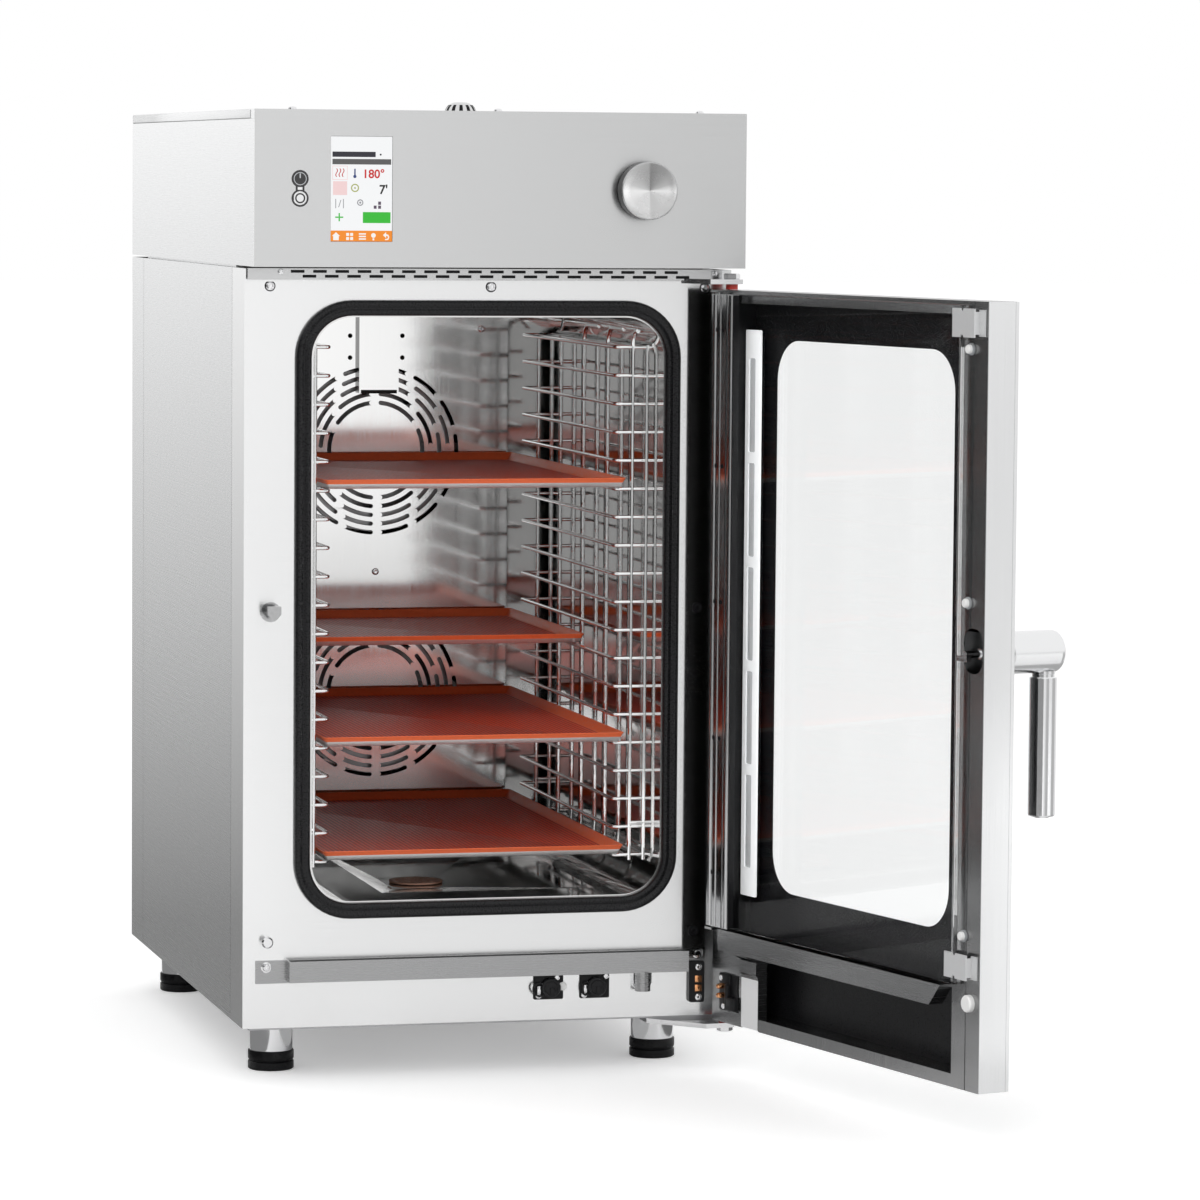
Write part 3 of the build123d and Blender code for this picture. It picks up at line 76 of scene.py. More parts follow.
BUFFER_X, BUFFER_HEIGHTS = -231, (782.6, 536.3, 210.8)
HUB_X, HUB_Z = -238.5, 487


def place(x, y, z):
    return Vector((x / 1000, y / 1000 + FRONT_Y, z / 1000))


HINGE = place(HALF - HINGE_INSET, HINGE_Y, 0)
SWING = Matrix.Translation(HINGE) @ Matrix.Rotation(DOOR_OPEN, 4, "Z") @ Matrix.Translation(-HINGE)


# Node materials

class Nodes:
    """A short way to add nodes to one tree and join them."""

    def __init__(self, tree):
        self.tree = tree

    def fill(self, node, inputs):
        """The same node, with its sockets set to constants or linked from other sockets."""
        for key, value in dict(inputs).items():
            if isinstance(value, bpy.types.NodeSocket):
                self.tree.links.new(value, node.inputs[key])
            else:
                node.inputs[key].default_value = value
        return node

    def add(self, kind, inputs=(), **settings):
        node = self.tree.nodes.new(kind)
        for key, value in settings.items():
            setattr(node, key, value)
        return self.fill(node, inputs)

    def math(self, operation, *values):
        return self.add("ShaderNodeMath", dict(enumerate(values)), operation=operation).outputs[0]

    def coords(self, scale):
        where = self.add("ShaderNodeTexCoord").outputs["Object"]
        return self.add("ShaderNodeMapping", {"Vector": where, "Scale": scale}).outputs[0]

    def axes(self):
        where = self.add("ShaderNodeTexCoord").outputs["Object"]
        return self.add("ShaderNodeSeparateXYZ", {0: where}).outputs

    def noise(self, scale, detail=2.0):
        inputs = {"Vector": self.coords(scale), "Scale": 1.0, "Detail": detail}
        return self.add("ShaderNodeTexNoise", inputs).outputs["Fac"]

    def spread(self, value, low, high, start=0.3, end=0.7):
        inputs = {"Value": value, "From Min": start, "From Max": end, "To Min": low, "To Max": high}
        return self.add("ShaderNodeMapRange", inputs).outputs["Result"]

    def mix(self, factor, low, high):
        inputs = {"Factor": factor, "A": low, "B": high}
        return self.add("ShaderNodeMix", inputs, data_type="RGBA").outputs["Result"]

    def tint(self, factor, low, high):
        return self.mix(factor, (*low, 1), (*high, 1))

    def bump(self, height, strength, distance=0.0005):
        inputs = {"Height": height, "Strength": strength, "Distance": distance}
        return self.add("ShaderNodeBump", inputs).outputs["Normal"]


def blank(name):
    made = bpy.data.materials.new(name)
    made.use_nodes = True
    return made


def opened(made):
    """A material's nodes, and its Principled surface."""
    return Nodes(made.node_tree), made.node_tree.nodes["Principled BSDF"]


def shaded(colour, factor):
    return tuple(min(1.0, c * factor) for c in colour)


def material(name, colour, roughness, metallic, grain, wear, rough_by, bump, detail=2.0, **sockets):
    """A Principled surface whose colour, roughness and relief vary with one noise, stretched or even."""
    made = blank(name)
    n, surface = opened(made)
    noise = n.noise(grain if isinstance(grain, tuple) else (grain, grain, grain), detail)
    n.fill(surface, {
        "Base Color": n.tint(noise, shaded(colour, 1 - wear), shaded(colour, 1 + wear)),
        "Roughness": n.spread(noise, roughness - rough_by, roughness + rough_by),
        "Normal": n.bump(noise, bump),
        "Metallic": metallic,
    })
    n.fill(surface, {key.replace("_", " "): value for key, value in sockets.items()})
    return made


def metal(name, colour, roughness, grain=200, wear=0.03, rough_by=0.05, bump=0.03):
    return material(name, colour, roughness, 1.0, grain, wear, rough_by, bump)


def plastic(name, colour, roughness, wear=0.1, rough_by=0.06, bump=0.05, shine=0.5, **sockets):
    return material(name, colour, roughness, 0.0, 900, wear, rough_by, bump,
                    Specular_IOR_Level=shine, **sockets)


ACROSS = (8, 8, 1400)
UPRIGHT = (1400, 1400, 8)


def brushed(name, colour, roughness, grain, turn=0.25, anisotropy=0.6, axis="Z", wear=0.02):
    """Brushed metal, whose highlights spread across the brush lines."""
    made = metal(name, colour, roughness, grain, wear, 0.03)
    n, surface = opened(made)
    tangent = n.add("ShaderNodeTangent", direction_type="RADIAL", axis=axis).outputs[0]
    n.fill(surface, {"Tangent": tangent, "Anisotropic": anisotropy, "Anisotropic Rotation": turn})
    return made


casing_steel = brushed("brushed_casing", (0.79, 0.795, 0.8), 0.27, ACROSS, wear=0.03)
front_steel = brushed("brushed_front", (0.88, 0.883, 0.885), 0.2, ACROSS, anisotropy=0.7)
panel_steel = brushed("brushed_panel", (0.66, 0.663, 0.665), 0.24, ACROSS)
gutter_steel = brushed("brushed_gutter", (0.4, 0.402, 0.405), 0.26, ACROSS)
door_steel = brushed("brushed_door", (0.88, 0.885, 0.89), 0.18, UPRIGHT, turn=0.0, wear=0.03)
# Painted shade: a darker copy of the door's brushed steel, painting the stile's dark reflection.
door_frame_shaded_steel = brushed("door_inside_painted_shade", (0.35, 0.352, 0.355), 0.22, UPRIGHT, turn=0.0, wear=0.04)
drip_steel = brushed("drip_channel", (0.28, 0.282, 0.285), 0.25, ACROSS, wear=0.04)
# Painted shade: a darker copy of the front's brushed steel for the ledge's band beneath the head's overhang.
vent_steel_painted_shade = brushed("vent_band", (0.62, 0.622, 0.625), 0.22, ACROSS, wear=0.04)
flue_steel = metal("flue_sheet", (0.7, 0.702, 0.705), 0.12, 60, 0.03, 0.03, 0.02)
striker_steel = metal("striker_steel", (0.5, 0.502, 0.505), 0.18)
knob_edge = metal("knob_edge", (0.5, 0.502, 0.505), 0.25, 60, bump=0.01)
base_steel = metal("plain_sheet", (0.5, 0.5, 0.51), 0.42, 40, 0.06, 0.06)
chamber_steel = material("chamber_wall", (0.8, 0.797, 0.79), 0.07, 1.0, 60, 0.05, 0.03, 0.02, 4.0)
baffle_steel = metal("baffle_plate", (0.96, 0.96, 0.955), 0.09, UPRIGHT, 0.02, 0.03, 0.02)
bright_steel = metal("bright_steel", (0.82, 0.82, 0.83), 0.13, 500, 0.03, 0.04, 0.02)
polished = metal("polished_steel", (0.86, 0.865, 0.875), 0.09, 60, 0.01, 0.02, 0.01)
hub_steel = metal("satin_hub", (0.84, 0.845, 0.85), 0.2, 60, 0.01, 0.02, 0.01)
wire_chrome = metal("rack_wire", (0.92, 0.92, 0.92), 0.08, 200, 0.02, 0.03, 0.01)
aluminium = metal("anodised_profile", (0.5, 0.503, 0.508), 0.16, UPRIGHT)
dark_metal = metal("heat_toned_steel", (0.24, 0.2, 0.17), 0.4, 120, 0.2, 0.08, 0.05)
brass = metal("brass", (0.75, 0.55, 0.25), 0.25, 200, 0.05)
copper = metal("copper_pad", (0.86, 0.42, 0.2), 0.2, 400, 0.1, 0.06)
strainer_steel = material("strainer_sheet", (0.66, 0.36, 0.26), 0.4, 0.35, 200, 0.08, 0.06, 0.05)
clip_steel = material("clip_sheet", (0.66, 0.665, 0.67), 0.35, 0.3, 200, 0.03, 0.05, 0.03)
tray_metal = material("tray_underside", (0.78, 0.78, 0.78), 0.36, 0.7, 80, 0.05, 0.06, 0.03)
# Black plastic, also used as painted shade in the duct's mouth.
black_plastic_and_painted_shade = plastic("black_plastic_and_painted_shade", (0.009, 0.009, 0.01), 0.36, 0.15, 0.06, 0.08, 0.25)
# Black print, also used as painted shade inside the vent's and the flue's slots.
black_print_and_shade = plastic("black_print_and_painted_shade", (0.008, 0.008, 0.009), 0.3, 0.1, 0.05, 0.0, 0.15)
gloss_black = plastic("gloss_black", (0.012, 0.012, 0.013), 0.12, 0.1, 0.03, 0.02, Coat_Weight=0.4)
foot_plastic = plastic("foot_plastic", (0.007, 0.007, 0.008), 0.3, 0.2, 0.08, 0.08, 0.2)
white_rubber = plastic("pale_rubber", (0.86, 0.86, 0.85), 0.5, 0.04, 0.08, 0.06)
grey_plastic = plastic("grey_plastic", (0.3, 0.31, 0.32), 0.5, 0.08)
red_bush = plastic("red_bushing", (0.6, 0.04, 0.025), 0.4, 0.1, 0.08)
motor_paint = plastic("motor_paint", (0.05, 0.055, 0.06), 0.4, 0.1, 0.06, 0.06)
knob_side = material("knob_side", (0.012, 0.012, 0.013), 0.3, 0.0, 60, 0.05, 0.05, 0.01,
                     Specular_IOR_Level=0.15)
gasket_rubber = material("door_seal_rubber", (0.009, 0.009, 0.01), 0.3, 0.0, 700, 0.2, 0.08, 0.08,
                         Specular_IOR_Level=0.28)
white_sheet = material("white_chute", (0.86, 0.865, 0.87), 0.35, 0.0, UPRIGHT, 0.02, 0.06, 0.02)
wool = material("mineral_wool", (0.6, 0.5, 0.28), 0.95, 0.0, (300, 40, 300), 0.25, 0.03, 0.6, 6.0)
circuit = material("circuit_board", (0.02, 0.16, 0.07), 0.4, 0.0, 150, 0.2, 0.08, 0.05)
frosted = material("frosted_window", (0.68, 0.69, 0.7), 0.5, 0.0, (200, 200, 60), 0.06, 0.05, 0.02)
# Painted glow: the lamp's frame is given a faint glow, though it is no lamp, to brighten it.
lamp_frame_painted_glow = material("lamp_frame_painted_glow", (0.93, 0.94, 0.95), 0.3, 0.0, UPRIGHT, 0.02, 0.04, 0.02,
                      Emission_Color=(1, 1, 1, 1), Emission_Strength=0.28)
coating = material("orange_coating", (0.95, 0.17, 0.055), 0.4, 0.0, 260, 0.12, 0.08, 0.1, 4.0)


def perforated_coating():
    """The tray's coating with a square grid of small holes, which are not cut but painted dark as painted
    shade, with a bump round each.
    """
    made = material("perforated_coating", (0.86, 0.1, 0.045), 0.42, 0.0, 260, 0.14, 0.08, 0.1, 4.0)
    n, surface = opened(made)
    cell = n.add("ShaderNodeVectorMath", {0: n.coords((200, 200, 0))}, operation="FRACTION").outputs[0]
    centred = n.add("ShaderNodeVectorMath", {0: cell, 1: (0.5, 0.5, 0.0)}, operation="SUBTRACT").outputs[0]
    far = n.add("ShaderNodeVectorMath", {0: centred}, operation="LENGTH").outputs["Value"]
    solid = n.spread(far, 0.0, 1.0, 0.24, 0.32)
    base = surface.inputs["Base Color"].links[0].from_socket
    # Painted shade: the dark tone of the holes, which are not cut.
    painted_hole_shade = (0.12, 0.02, 0.012, 1)
    n.fill(surface, {"Base Color": n.mix(solid, painted_hole_shade, base), "Normal": n.bump(solid, 0.5, 0.0008)})
    return made


def glass(name, tint, bend):
    """A clear pane with faint smears."""
    made = blank(name)
    n, surface = opened(made)
    smear = n.spread(n.noise((30, 30, 30), 4.0), 0.0, 0.03, 0.45, 0.75)
    n.fill(surface, {"Roughness": smear, "Base Color": (*tint, 1), "Transmission Weight": 1.0, "IOR": bend})
    return made


def lit(name, colour, strength=0.85):
    """A patch of the screen, lit from behind."""
    return plastic(name, shaded(colour, 0.1), 0.3, 0.02, 0.03, 0.0,
                   Emission_Color=(*colour, 1), Emission_Strength=strength)


def spun_face():
    """The dial's turned face, brushed in circles, with a painted highlight: bright and dark wedges round its
    centre are painted into its colour.
    """
    made = brushed("knob_face_painted_sheen", (0.74, 0.74, 0.745), 0.28, 60, 0.0, 0.85, "Y")
    n, surface = opened(made)
    where = n.axes()
    sides = [n.math("SUBTRACT", where["XYZ"[k]], KNOB_AT[k] / 1000) for k in (0, 2)]
    flat = n.add("ShaderNodeCombineXYZ", dict(zip("XY", sides))).outputs[0]
    turn = n.add("ShaderNodeTexGradient", {"Vector": flat}, gradient_type="RADIAL").outputs["Fac"]
    ramp = n.add("ShaderNodeValToRGB", {"Fac": turn})
    stops = ramp.color_ramp.elements
    # Painted highlight: each pair is an angle round the dial's centre and the tone painted there.
    painted_sheen_wedges = ((0.0, 0.98), (0.03, 0.95), (0.08, 0.84), (0.16, 0.78), (0.245, 0.84), (0.26, 0.68),
              (0.34, 0.66), (0.44, 0.72), (0.5, 0.94), (0.55, 0.54), (0.64, 0.36), (0.745, 0.28),
              (0.76, 0.44), (0.86, 0.52), (0.95, 0.66), (1.0, 0.98))
    while len(stops) < len(painted_sheen_wedges):
        stops.new(0.5)
    for stop, (at, _) in zip(stops, painted_sheen_wedges):
        stop.position = at
    for stop, (_, tone) in zip(stops, painted_sheen_wedges):
        stop.color = (tone, tone, tone, 1)
    n.fill(surface, {"Base Color": ramp.outputs["Color"]})
    return made


perforated = perforated_coating()
clear_glass = glass("clear_pane", (0.905, 0.908, 0.908), 1.3)
coated_glass = glass("coated_pane", (0.975, 0.98, 0.98), 1.12)
knob_face_painted_sheen = spun_face()

SLOT_MATERIALS = {slot: surface for surface, slots in (
    (casing_steel, "casing"), (front_steel, "front"), (door_steel, "door"), (gutter_steel, "gutter"),
    (base_steel, "base chimney fan"), (chamber_steel, "chamber"), (baffle_steel, "baffle"),
    (bright_steel, "hinge screw button knob"), (polished, "leg handle"), (striker_steel, "striker"),
    (clip_steel, "clip"), (wire_chrome, "wire"), (aluminium, "profile"), (dark_metal, "heater"),
    (brass, "valve"), (black_plastic_and_painted_shade, "gland socket contact"), (gloss_black, "screen bezel"),
    (grey_plastic, "pipe"), (foot_plastic, "foot"), (gasket_rubber, "gasket"),
    (white_rubber, "plunger buffer"), (red_bush, "bush"), (motor_paint, "motor"), (wool, "wool"),
    (circuit, "board"), (lamp_frame_painted_glow, "led"), (coating, "tray"), (clear_glass, "outer_pane"),
    (coated_glass, "inner_pane"),
) for slot in slots.split()}
for part in frame["record"]["subparts"]:
    mesh = NODES[part["node"]].data
    mesh.materials.clear()
    mesh.materials.append(SLOT_MATERIALS[part["material_slot"]])
# The door's frame takes the darker copy of its steel: painted shade for the stile's dark reflection.
NODES["door_frame"].data.materials[0] = door_frame_shaded_steel
NODES["drip_channel"].data.materials[0] = drip_steel


# Shapes, each returned as a mesh in the frame

def baked(bm, name="mesh"):
    mesh = bpy.data.meshes.new(name)
    bm.to_mesh(mesh)
    bm.free()
    return mesh


def smoothed(mesh, sharp):
    """The same mesh, smooth but for its sharp edges."""
    mesh.shade_smooth()
    mesh.set_sharp_from_angle(angle=radians(sharp))
    return mesh


def settled(bm, sharp):
    """The finished mesh, with its faces turned outward."""
    bmesh.ops.recalc_face_normals(bm, faces=bm.faces)
    return smoothed(baked(bm), sharp)


def bridged(loops, closed=False, capped=False, sharp=38):
    """Quads between loops of equal length."""
    bm = bmesh.new()
    rows = [[bm.verts.new(point) for point in loop] for loop in loops]
    pairs = list(zip(rows, rows[1:])) + ([(rows[-1], rows[0])] if closed else [])
    for low, high in pairs:
        for k in range(len(low)):
            following = (k + 1) % len(low)
            bm.faces.new((low[k], low[following], high[following], high[k]))
    if capped:
        bm.faces.new(rows[0])
        bm.faces.new(rows[-1])
    return settled(bm, sharp)


def lathe(centre, axis, profile, sides=64, sharp=38, hollow=False):
    """A turned piece: profile holds (radius, distance along the axis) from one end to the other."""
    axis = Vector(axis).normalized()
    side = axis.orthogonal().normalized()
    up = axis.cross(side)
    loops = []
    for radius, along in profile:
        ring = []
        for k in range(sides):
            turn = 2 * pi * k / sides
            out = side * cos(turn) + up * sin(turn)
            ring.append(place(*(Vector(centre) + axis * along + out * max(radius, 0.01))))
        loops.append(ring)
    return bridged(loops, hollow, not hollow, sharp)


def tube(centre, axis, profile, sides=64):
    """A turned tube: the profile closes on itself."""
    return lathe(centre, axis, profile, sides, hollow=True)


def rounded_block(x, y, z, radius=0.6, segments=2):
    """A box with rounded edges, from three pairs of limits."""
    bm = bmesh.new()
    bmesh.ops.create_cube(bm, size=1)
    low, high = place(x[0], y[0], z[0]), place(x[1], y[1], z[1])
    size, middle = high - low, (high + low) / 2
    for vert in bm.verts:
        vert.co = Vector(vert.co[i] * abs(size[i]) + middle[i] for i in range(3))
    bmesh.ops.bevel(bm, geom=bm.edges[:], offset=radius / 1000, segments=segments, profile=0.5,
                    affect="EDGES")
    return settled(bm, 20)


def rounded_outline(x, z, radius, steps=8):
    """Points round a rectangle with rounded corners, the same number for every size."""
    corners = ((x[1], z[1], 0), (x[0], z[1], 90), (x[0], z[0], 180), (x[1], z[0], 270))
    points = []
    for cx, cz, start in corners:
        mx = cx - copysign(radius, cx - (x[0] + x[1]) / 2)
        mz = cz - copysign(radius, cz - (z[0] + z[1]) / 2)
        for k in range(steps + 1):
            turn = radians(start + 90 * k / steps)
            points.append((mx + radius * cos(turn), mz + radius * sin(turn)))
    return points


def circle(x, z, radius, sides=32):
    turns = [2 * pi * k / sides for k in range(sides)]
    return [(x + radius * cos(t), z + radius * sin(t)) for t in turns]


def arc_slot(x, z, radius, half_width, start, end):
    """A curved slot with round ends, from one angle to another in radians."""
    steps = 6
    points = []
    for side, first, last in ((1, start, end), (-1, end, start)):
        for k in range(steps + 1):
            turn = first + (last - first) * k / steps
            r = radius + side * half_width
            points.append((x + r * cos(turn), z + r * sin(turn)))
        cx, cz = x + radius * cos(last), z + radius * sin(last)
        for k in range(1, steps):
            turn = last + side * pi * k / steps + (0 if side > 0 else pi)
            points.append((cx + half_width * cos(turn), cz + half_width * sin(turn)))
    return points


FORWARD, BACKWARD, UP = (0, -1, 0), (0, 1, 0), (0, 0, 1)
UPRIGHT_PLANE = Matrix(((1, 0, 0, 0), (0, 0, 1, 0), (0, 1, 0, 0), (0, 0, 0, 1)))


def plate(outline, holes, y, thickness, bevel=0.0):
    """A flat sheet in X and Z with holes, whose front face is at y."""
    curve = bpy.data.curves.new("plate", "CURVE")
    curve.dimensions = "2D"
    curve.fill_mode = "BOTH"
    curve.extrude = thickness / 2000
    curve.bevel_depth = bevel / 1000
    for ring in (outline, *holes):
        spline = curve.splines.new("POLY")
        spline.points.add(len(ring) - 1)
        for point, (u, v) in zip(spline.points, ring):
            point.co = (u / 1000, v / 1000, 0, 1)
        spline.use_cyclic_u = True
    mesh = taken(curve)
    mesh.transform(Matrix.Translation(place(0, y + thickness / 2, 0)) @ UPRIGHT_PLANE)
    mesh.set_sharp_from_angle(angle=radians(30))
    return mesh


def taken(curve):
    """A curve or a text as a mesh."""
    carrier = bpy.data.objects.new("carrier", curve)
    mesh = bpy.data.meshes.new_from_object(carrier)
    bpy.data.objects.remove(carrier)
    bpy.data.curves.remove(curve)
    return mesh


def wires(paths, radius, end=1.0):
    """Round wires along lists of points, whose last point can be thinner."""
    curve = bpy.data.curves.new("wire", "CURVE")
    curve.dimensions = "3D"
    curve.bevel_depth = radius / 1000
    curve.bevel_resolution = 3
    curve.use_fill_caps = True
    for path in paths:
        spline = curve.splines.new("POLY")
        spline.points.add(len(path) - 1)
        for point, where in zip(spline.points, path):
            point.co = (*place(*where), 1)
        spline.points[-1].radius = end
    return smoothed(taken(curve), 60)


def filleted(points, radius):
    """The same path with round bends."""
    steps = 6
    path = [Vector(points[0])]
    for before, corner, after in zip(points, points[1:], points[2:]):
        before, corner, after = Vector(before), Vector(corner), Vector(after)
        start = corner + (before - corner).normalized() * radius
        end = corner + (after - corner).normalized() * radius
        for k in range(steps + 1):
            t = k / steps
            path.append(start.lerp(corner, t).lerp(corner.lerp(end, t), t))
    path.append(Vector(points[-1]))
    return path


def linked(name, data):
    """An object in the scene."""
    made = bpy.data.objects.new(name, data)
    bpy.context.scene.collection.objects.link(made)
    return made


def add(name, mesh, body, surface, slot, *replaced):
    """A new piece that rides on a body, and stands for the CAD nodes named after its slot."""
    if not mesh.materials:
        mesh.materials.append(surface)
    piece = linked(name, mesh)
    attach(piece, body)
    if replaced:
        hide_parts(*replaced)
    return piece


def fixed(name, mesh, *rest):
    """A new piece of the cabinet."""
    return add(name, mesh, "cabinet", *rest)


def hang(name, mesh, *rest):
    """A new piece of the open door, from its mesh in the shut place."""
    mesh.transform(SWING)
    return add(name, mesh, *rest)


def joined(meshes):
    """Several meshes of one material as one mesh."""
    bm = bmesh.new()
    for mesh in meshes:
        bm.from_mesh(mesh)
        bpy.data.meshes.remove(mesh)
    return smoothed(baked(bm), 38)


def screw_head(x, y, z, radius, height=2.2):
    """A domed head that faces forward, with a round socket in it."""
    hole = radius * 0.5
    profile = [(radius, 0), (radius, height * 0.45), (radius * 0.86, height * 0.85), (hole * 1.15, height),
               (hole, height), (hole * 0.95, height * 0.35), (0, height * 0.3)]
    return lathe((x, y, z), FORWARD, profile, 24)


# Cabinet front

def vent_band():
    """The band of the ledge, its grey a painted shade beneath the head, with two rows of slots over a black
    plate whose dark is painted shade inside them.
    """
    rows = [(-212, 846.2), (-199.6, 841.2)]
    pitch, length, half_height = 23.4, 14.4, 1.5
    starts = [(start + pitch * n, z) for start, z in rows for n in range(18)]
    holes = [rounded_outline((x, x + length), (z - half_height, z + half_height), 0.5, 3) for x, z in starts]
    band = plate(rounded_outline((-257, 248), (838, 849.3), 0.4, 2), holes, -4.5, 0.3)
    fixed("vent_band", band, vent_steel_painted_shade, "front")
    # Painted shade: a black plate behind the slots stands for the dark inside them.
    dark = plate(rounded_outline((-230, 230), (839, 848.6), 0.4, 2), [], -4.18, 0.14)
    fixed("vent_painted_shade", dark, black_print_and_shade, "front")


def front_screws():
    """Domed heads on the frame, gutter, sockets, contact and baffle, with washers, and the stop pin."""
    domes = [(-232.8, 831), (0.5, 830.6), (230.7, 830.1)]
    stile = [(226, 493.5), (225, 150)]
    washer = [(5.6, 0), (5.6, 0.7), (3.4, 0.9), (0, 0.9)]
    discs = [lathe((x, 0, z), FORWARD, washer, 32) for x, z in domes + stile]
    discs += [screw_head(x, -0.8, z, 3.4, 1.8) for x, z in stile]
    fixed("frame_washers", joined(discs), black_plastic_and_painted_shade, "screw")
    pieces = [screw_head(x, -0.8, z, 4.6) for x, z in domes]
    for x, z in ((-235, 124), (229.4, 126)):
        pieces.append(lathe((x, -1.5, z), FORWARD, [(5.7, 0), (5.7, 0.6), (5.2, 0.9), (0, 0.9)], 40))
        pieces.append(screw_head(x, -2.2, z, 3.8, 1.8))
    pieces += [screw_head(x, BAFFLE_Y, z, 4.0, 2.4) for x, z in BAFFLE_FIXINGS]
    pieces += [screw_head(x, -4.4, z, 3.2, 2) for x, z in ((-222.5, 845.6), (239.6, 845.2))]
    for x, z in ((75.8, 104.9), (55.9, 85.8), (129.1, 105), (105.3, 85.4)):
        pieces.append(screw_head(x, -3, z, 3.2, 1.8))
    pieces += [screw_head(229.4, -6, z, 3.5, 0.9) for z in (112.2, 80)]
    pieces.append(lathe((-235, 0, 151), FORWARD, [(6, 0), (6, 9.5), (4.6, 11), (0, 11)], 32))
    fixed("frame_screw_heads", joined(pieces), bright_steel, "screw", "frame_screws")


def door_gasket():
    """Two soft lips round the opening, with a groove between them."""
    profile = [(0, 0), (0, 5.5), (1, 7.4), (2.8, 8.4), (5, 8.2), (6.6, 6.8), (7.8, 6.2), (9, 6.8),
               (10.6, 8.4), (12.8, 8.6), (14.8, 7.4), (16, 5.2), (16, 0)]
    loops = []
    for grow, height in profile:
        g = grow + 1.2
        ring = rounded_outline((-188.6 - g, 187 + g), (190.4 - g, 799.4 + g), 42 + g, 12)
        loops.append([place(x, -height, z) for x, z in ring])
    fixed("gasket", bridged(loops, closed=True, sharp=80), gasket_rubber, "gasket", "door_gasket")


def fan_baffle():
    """The plate before the fans, with rings of round-ended slots, small holes and folded edges, and a black
    block as painted shade in the duct's mouth.
    """
    holes = []
    outer_radius, ring_step, bridge = 94.5, 10, 5.4
    for z in FAN_HEIGHTS:
        for n, count in enumerate((14, 12, 10, 8, 6)):
            radius = outer_radius - n * ring_step
            half = pi / count - bridge / radius
            for k in range(count):
                turn = 2 * pi * (k + 0.5 * (n % 2)) / count
                holes.append(arc_slot(0, z, radius, 2.5, turn - half, turn + half))
    holes += [circle(x, z, 2.7, 20) for x in (-30.5, 30.5) for z in (762, 737)]
    sheet = plate(rounded_outline((-160, 155), (199, 791), 3, 4), holes, BAFFLE_Y, 1.5)
    folds = [rounded_block(x, (BAFFLE_Y, BAFFLE_Y + 16), (200, 790), 0.5)
             for x in ((-160, -158.5), (153.5, 155))]
    fixed("baffle_sheet", sheet, baffle_steel, "baffle", "fan_baffle")
    fixed("baffle_folds", joined(folds), baffle_steel, "baffle")
    # Painted shade: a black block stands for the dark inside the duct's open mouth.
    mouth_shade_block = rounded_block((-20, 22), (566.4, 577), (696.4, 700.5), 0.4)
    fixed("duct_mouth_painted_shade", mouth_shade_block, black_plastic_and_painted_shade, "baffle")


def strainer():
    """A flat disc with rings of holes, laid over the drain."""
    x, y = -36, 185
    holes = [circle(x + r * cos(t), y + r * sin(t), 2.1, 12)
             for r, count in ((0, 1), (7, 6), (14, 12), (21, 18))
             for t in (2 * pi * k / count for k in range(count))]
    mesh = plate(circle(x, y, 29, 48), holes, 0, 1.6)
    mesh.transform(Matrix.Translation(place(0, 0, 185)) @ UPRIGHT_PLANE @ Matrix.Translation(-place(0, 0, 0)))
    fixed("strainer", mesh, strainer_steel, "baffle", "drain_strainer")


def side_rack(name, node, inner, post, wall, hooks):
    """Round wires: a hairpin rung at every tray place, two rows of uprights and cane hooks."""
    side = copysign(1, inner)
    liner = side * 187
    near, far, low, pitch = 50, 474, 226.5, 30
    stations = [near + 106 * n for n in range(5)]
    rungs = []
    for n in range(19):
        z = low + pitch * n
        bend = [(liner, near, z), (inner, near, z), (inner, far, z), (liner, far, z)]
        rungs.append(filleted(bend, 6))
    uprights = []
    bend_z, bend_radius = 766.1, 18
    for row in (post, wall):
        uprights += [[(row, y, 221), (row, y, 768.5)] for y in stations]
        uprights += [[(row, near, z), (row, far, z)] for z in (223.4, bend_z)]
    for z in (260.6, 736.1):
        uprights += [[(post, y, z), (liner, y, z)] for y in (near, far)]
    canes = []
    for y, reach in zip(stations, hooks):
        curve = [(post, y - bend_radius + bend_radius * cos(t), bend_z + bend_radius * sin(t))
                 for t in (pi / 2 * k / 8 for k in range(9))]
        canes.append(curve + [(post, y - 17 - reach, 784.1), (post, y - 18 - reach, 784.6)])
    mesh = joined([wires(rungs, 2.0), wires(uprights, 2.4)] + [wires([cane], 2.4, end=0.2) for cane in canes])
    fixed(name, mesh, wire_chrome, "wire", node)


def tray(number, body, front, base):
    """A shallow tray: coated inside, bare below, with rounded corners and a perforated floor."""
    x, y, rim = (-167.5, 157.5), (front, 566), 10.0
    profile = [(-7, 0), (-5.6, 0.5), (-3.2, 5), (-0.6, rim - 1.2), (0, rim - 0.5), (-0.3, rim), (-1.2, rim),
               (-1.8, rim - 0.7), (-6.8, 2.2), (-8.2, 1.5)]
    loops = []
    for grow, height in profile:
        ring = rounded_outline((x[0] - grow, x[1] + grow), (y[0] - grow, y[1] + grow), 5 + max(grow, -4.4), 4)
        loops.append([place(u, v, base + height) for u, v in ring])
    mesh = bridged(loops, capped=True, sharp=50)
    for surface in (tray_metal, coating, perforated):
        mesh.materials.append(surface)
    for face in mesh.polygons:
        inner = face.center.z > (base + rim - 0.9) / 1000
        middle = place((x[0] + x[1]) / 2, (y[0] + y[1]) / 2, 0)
        outward = (face.center - middle).to_2d().normalized().dot(face.normal.to_2d())
        if face.normal.z > 0.95 and not inner:
            face.material_index = 2
        elif inner or outward < -0.2 or face.center.z > (base + 5.2) / 1000:
            face.material_index = 1
    add(f"oven_tray_{number}", mesh, body, coating, "tray", f"tray_{number}")


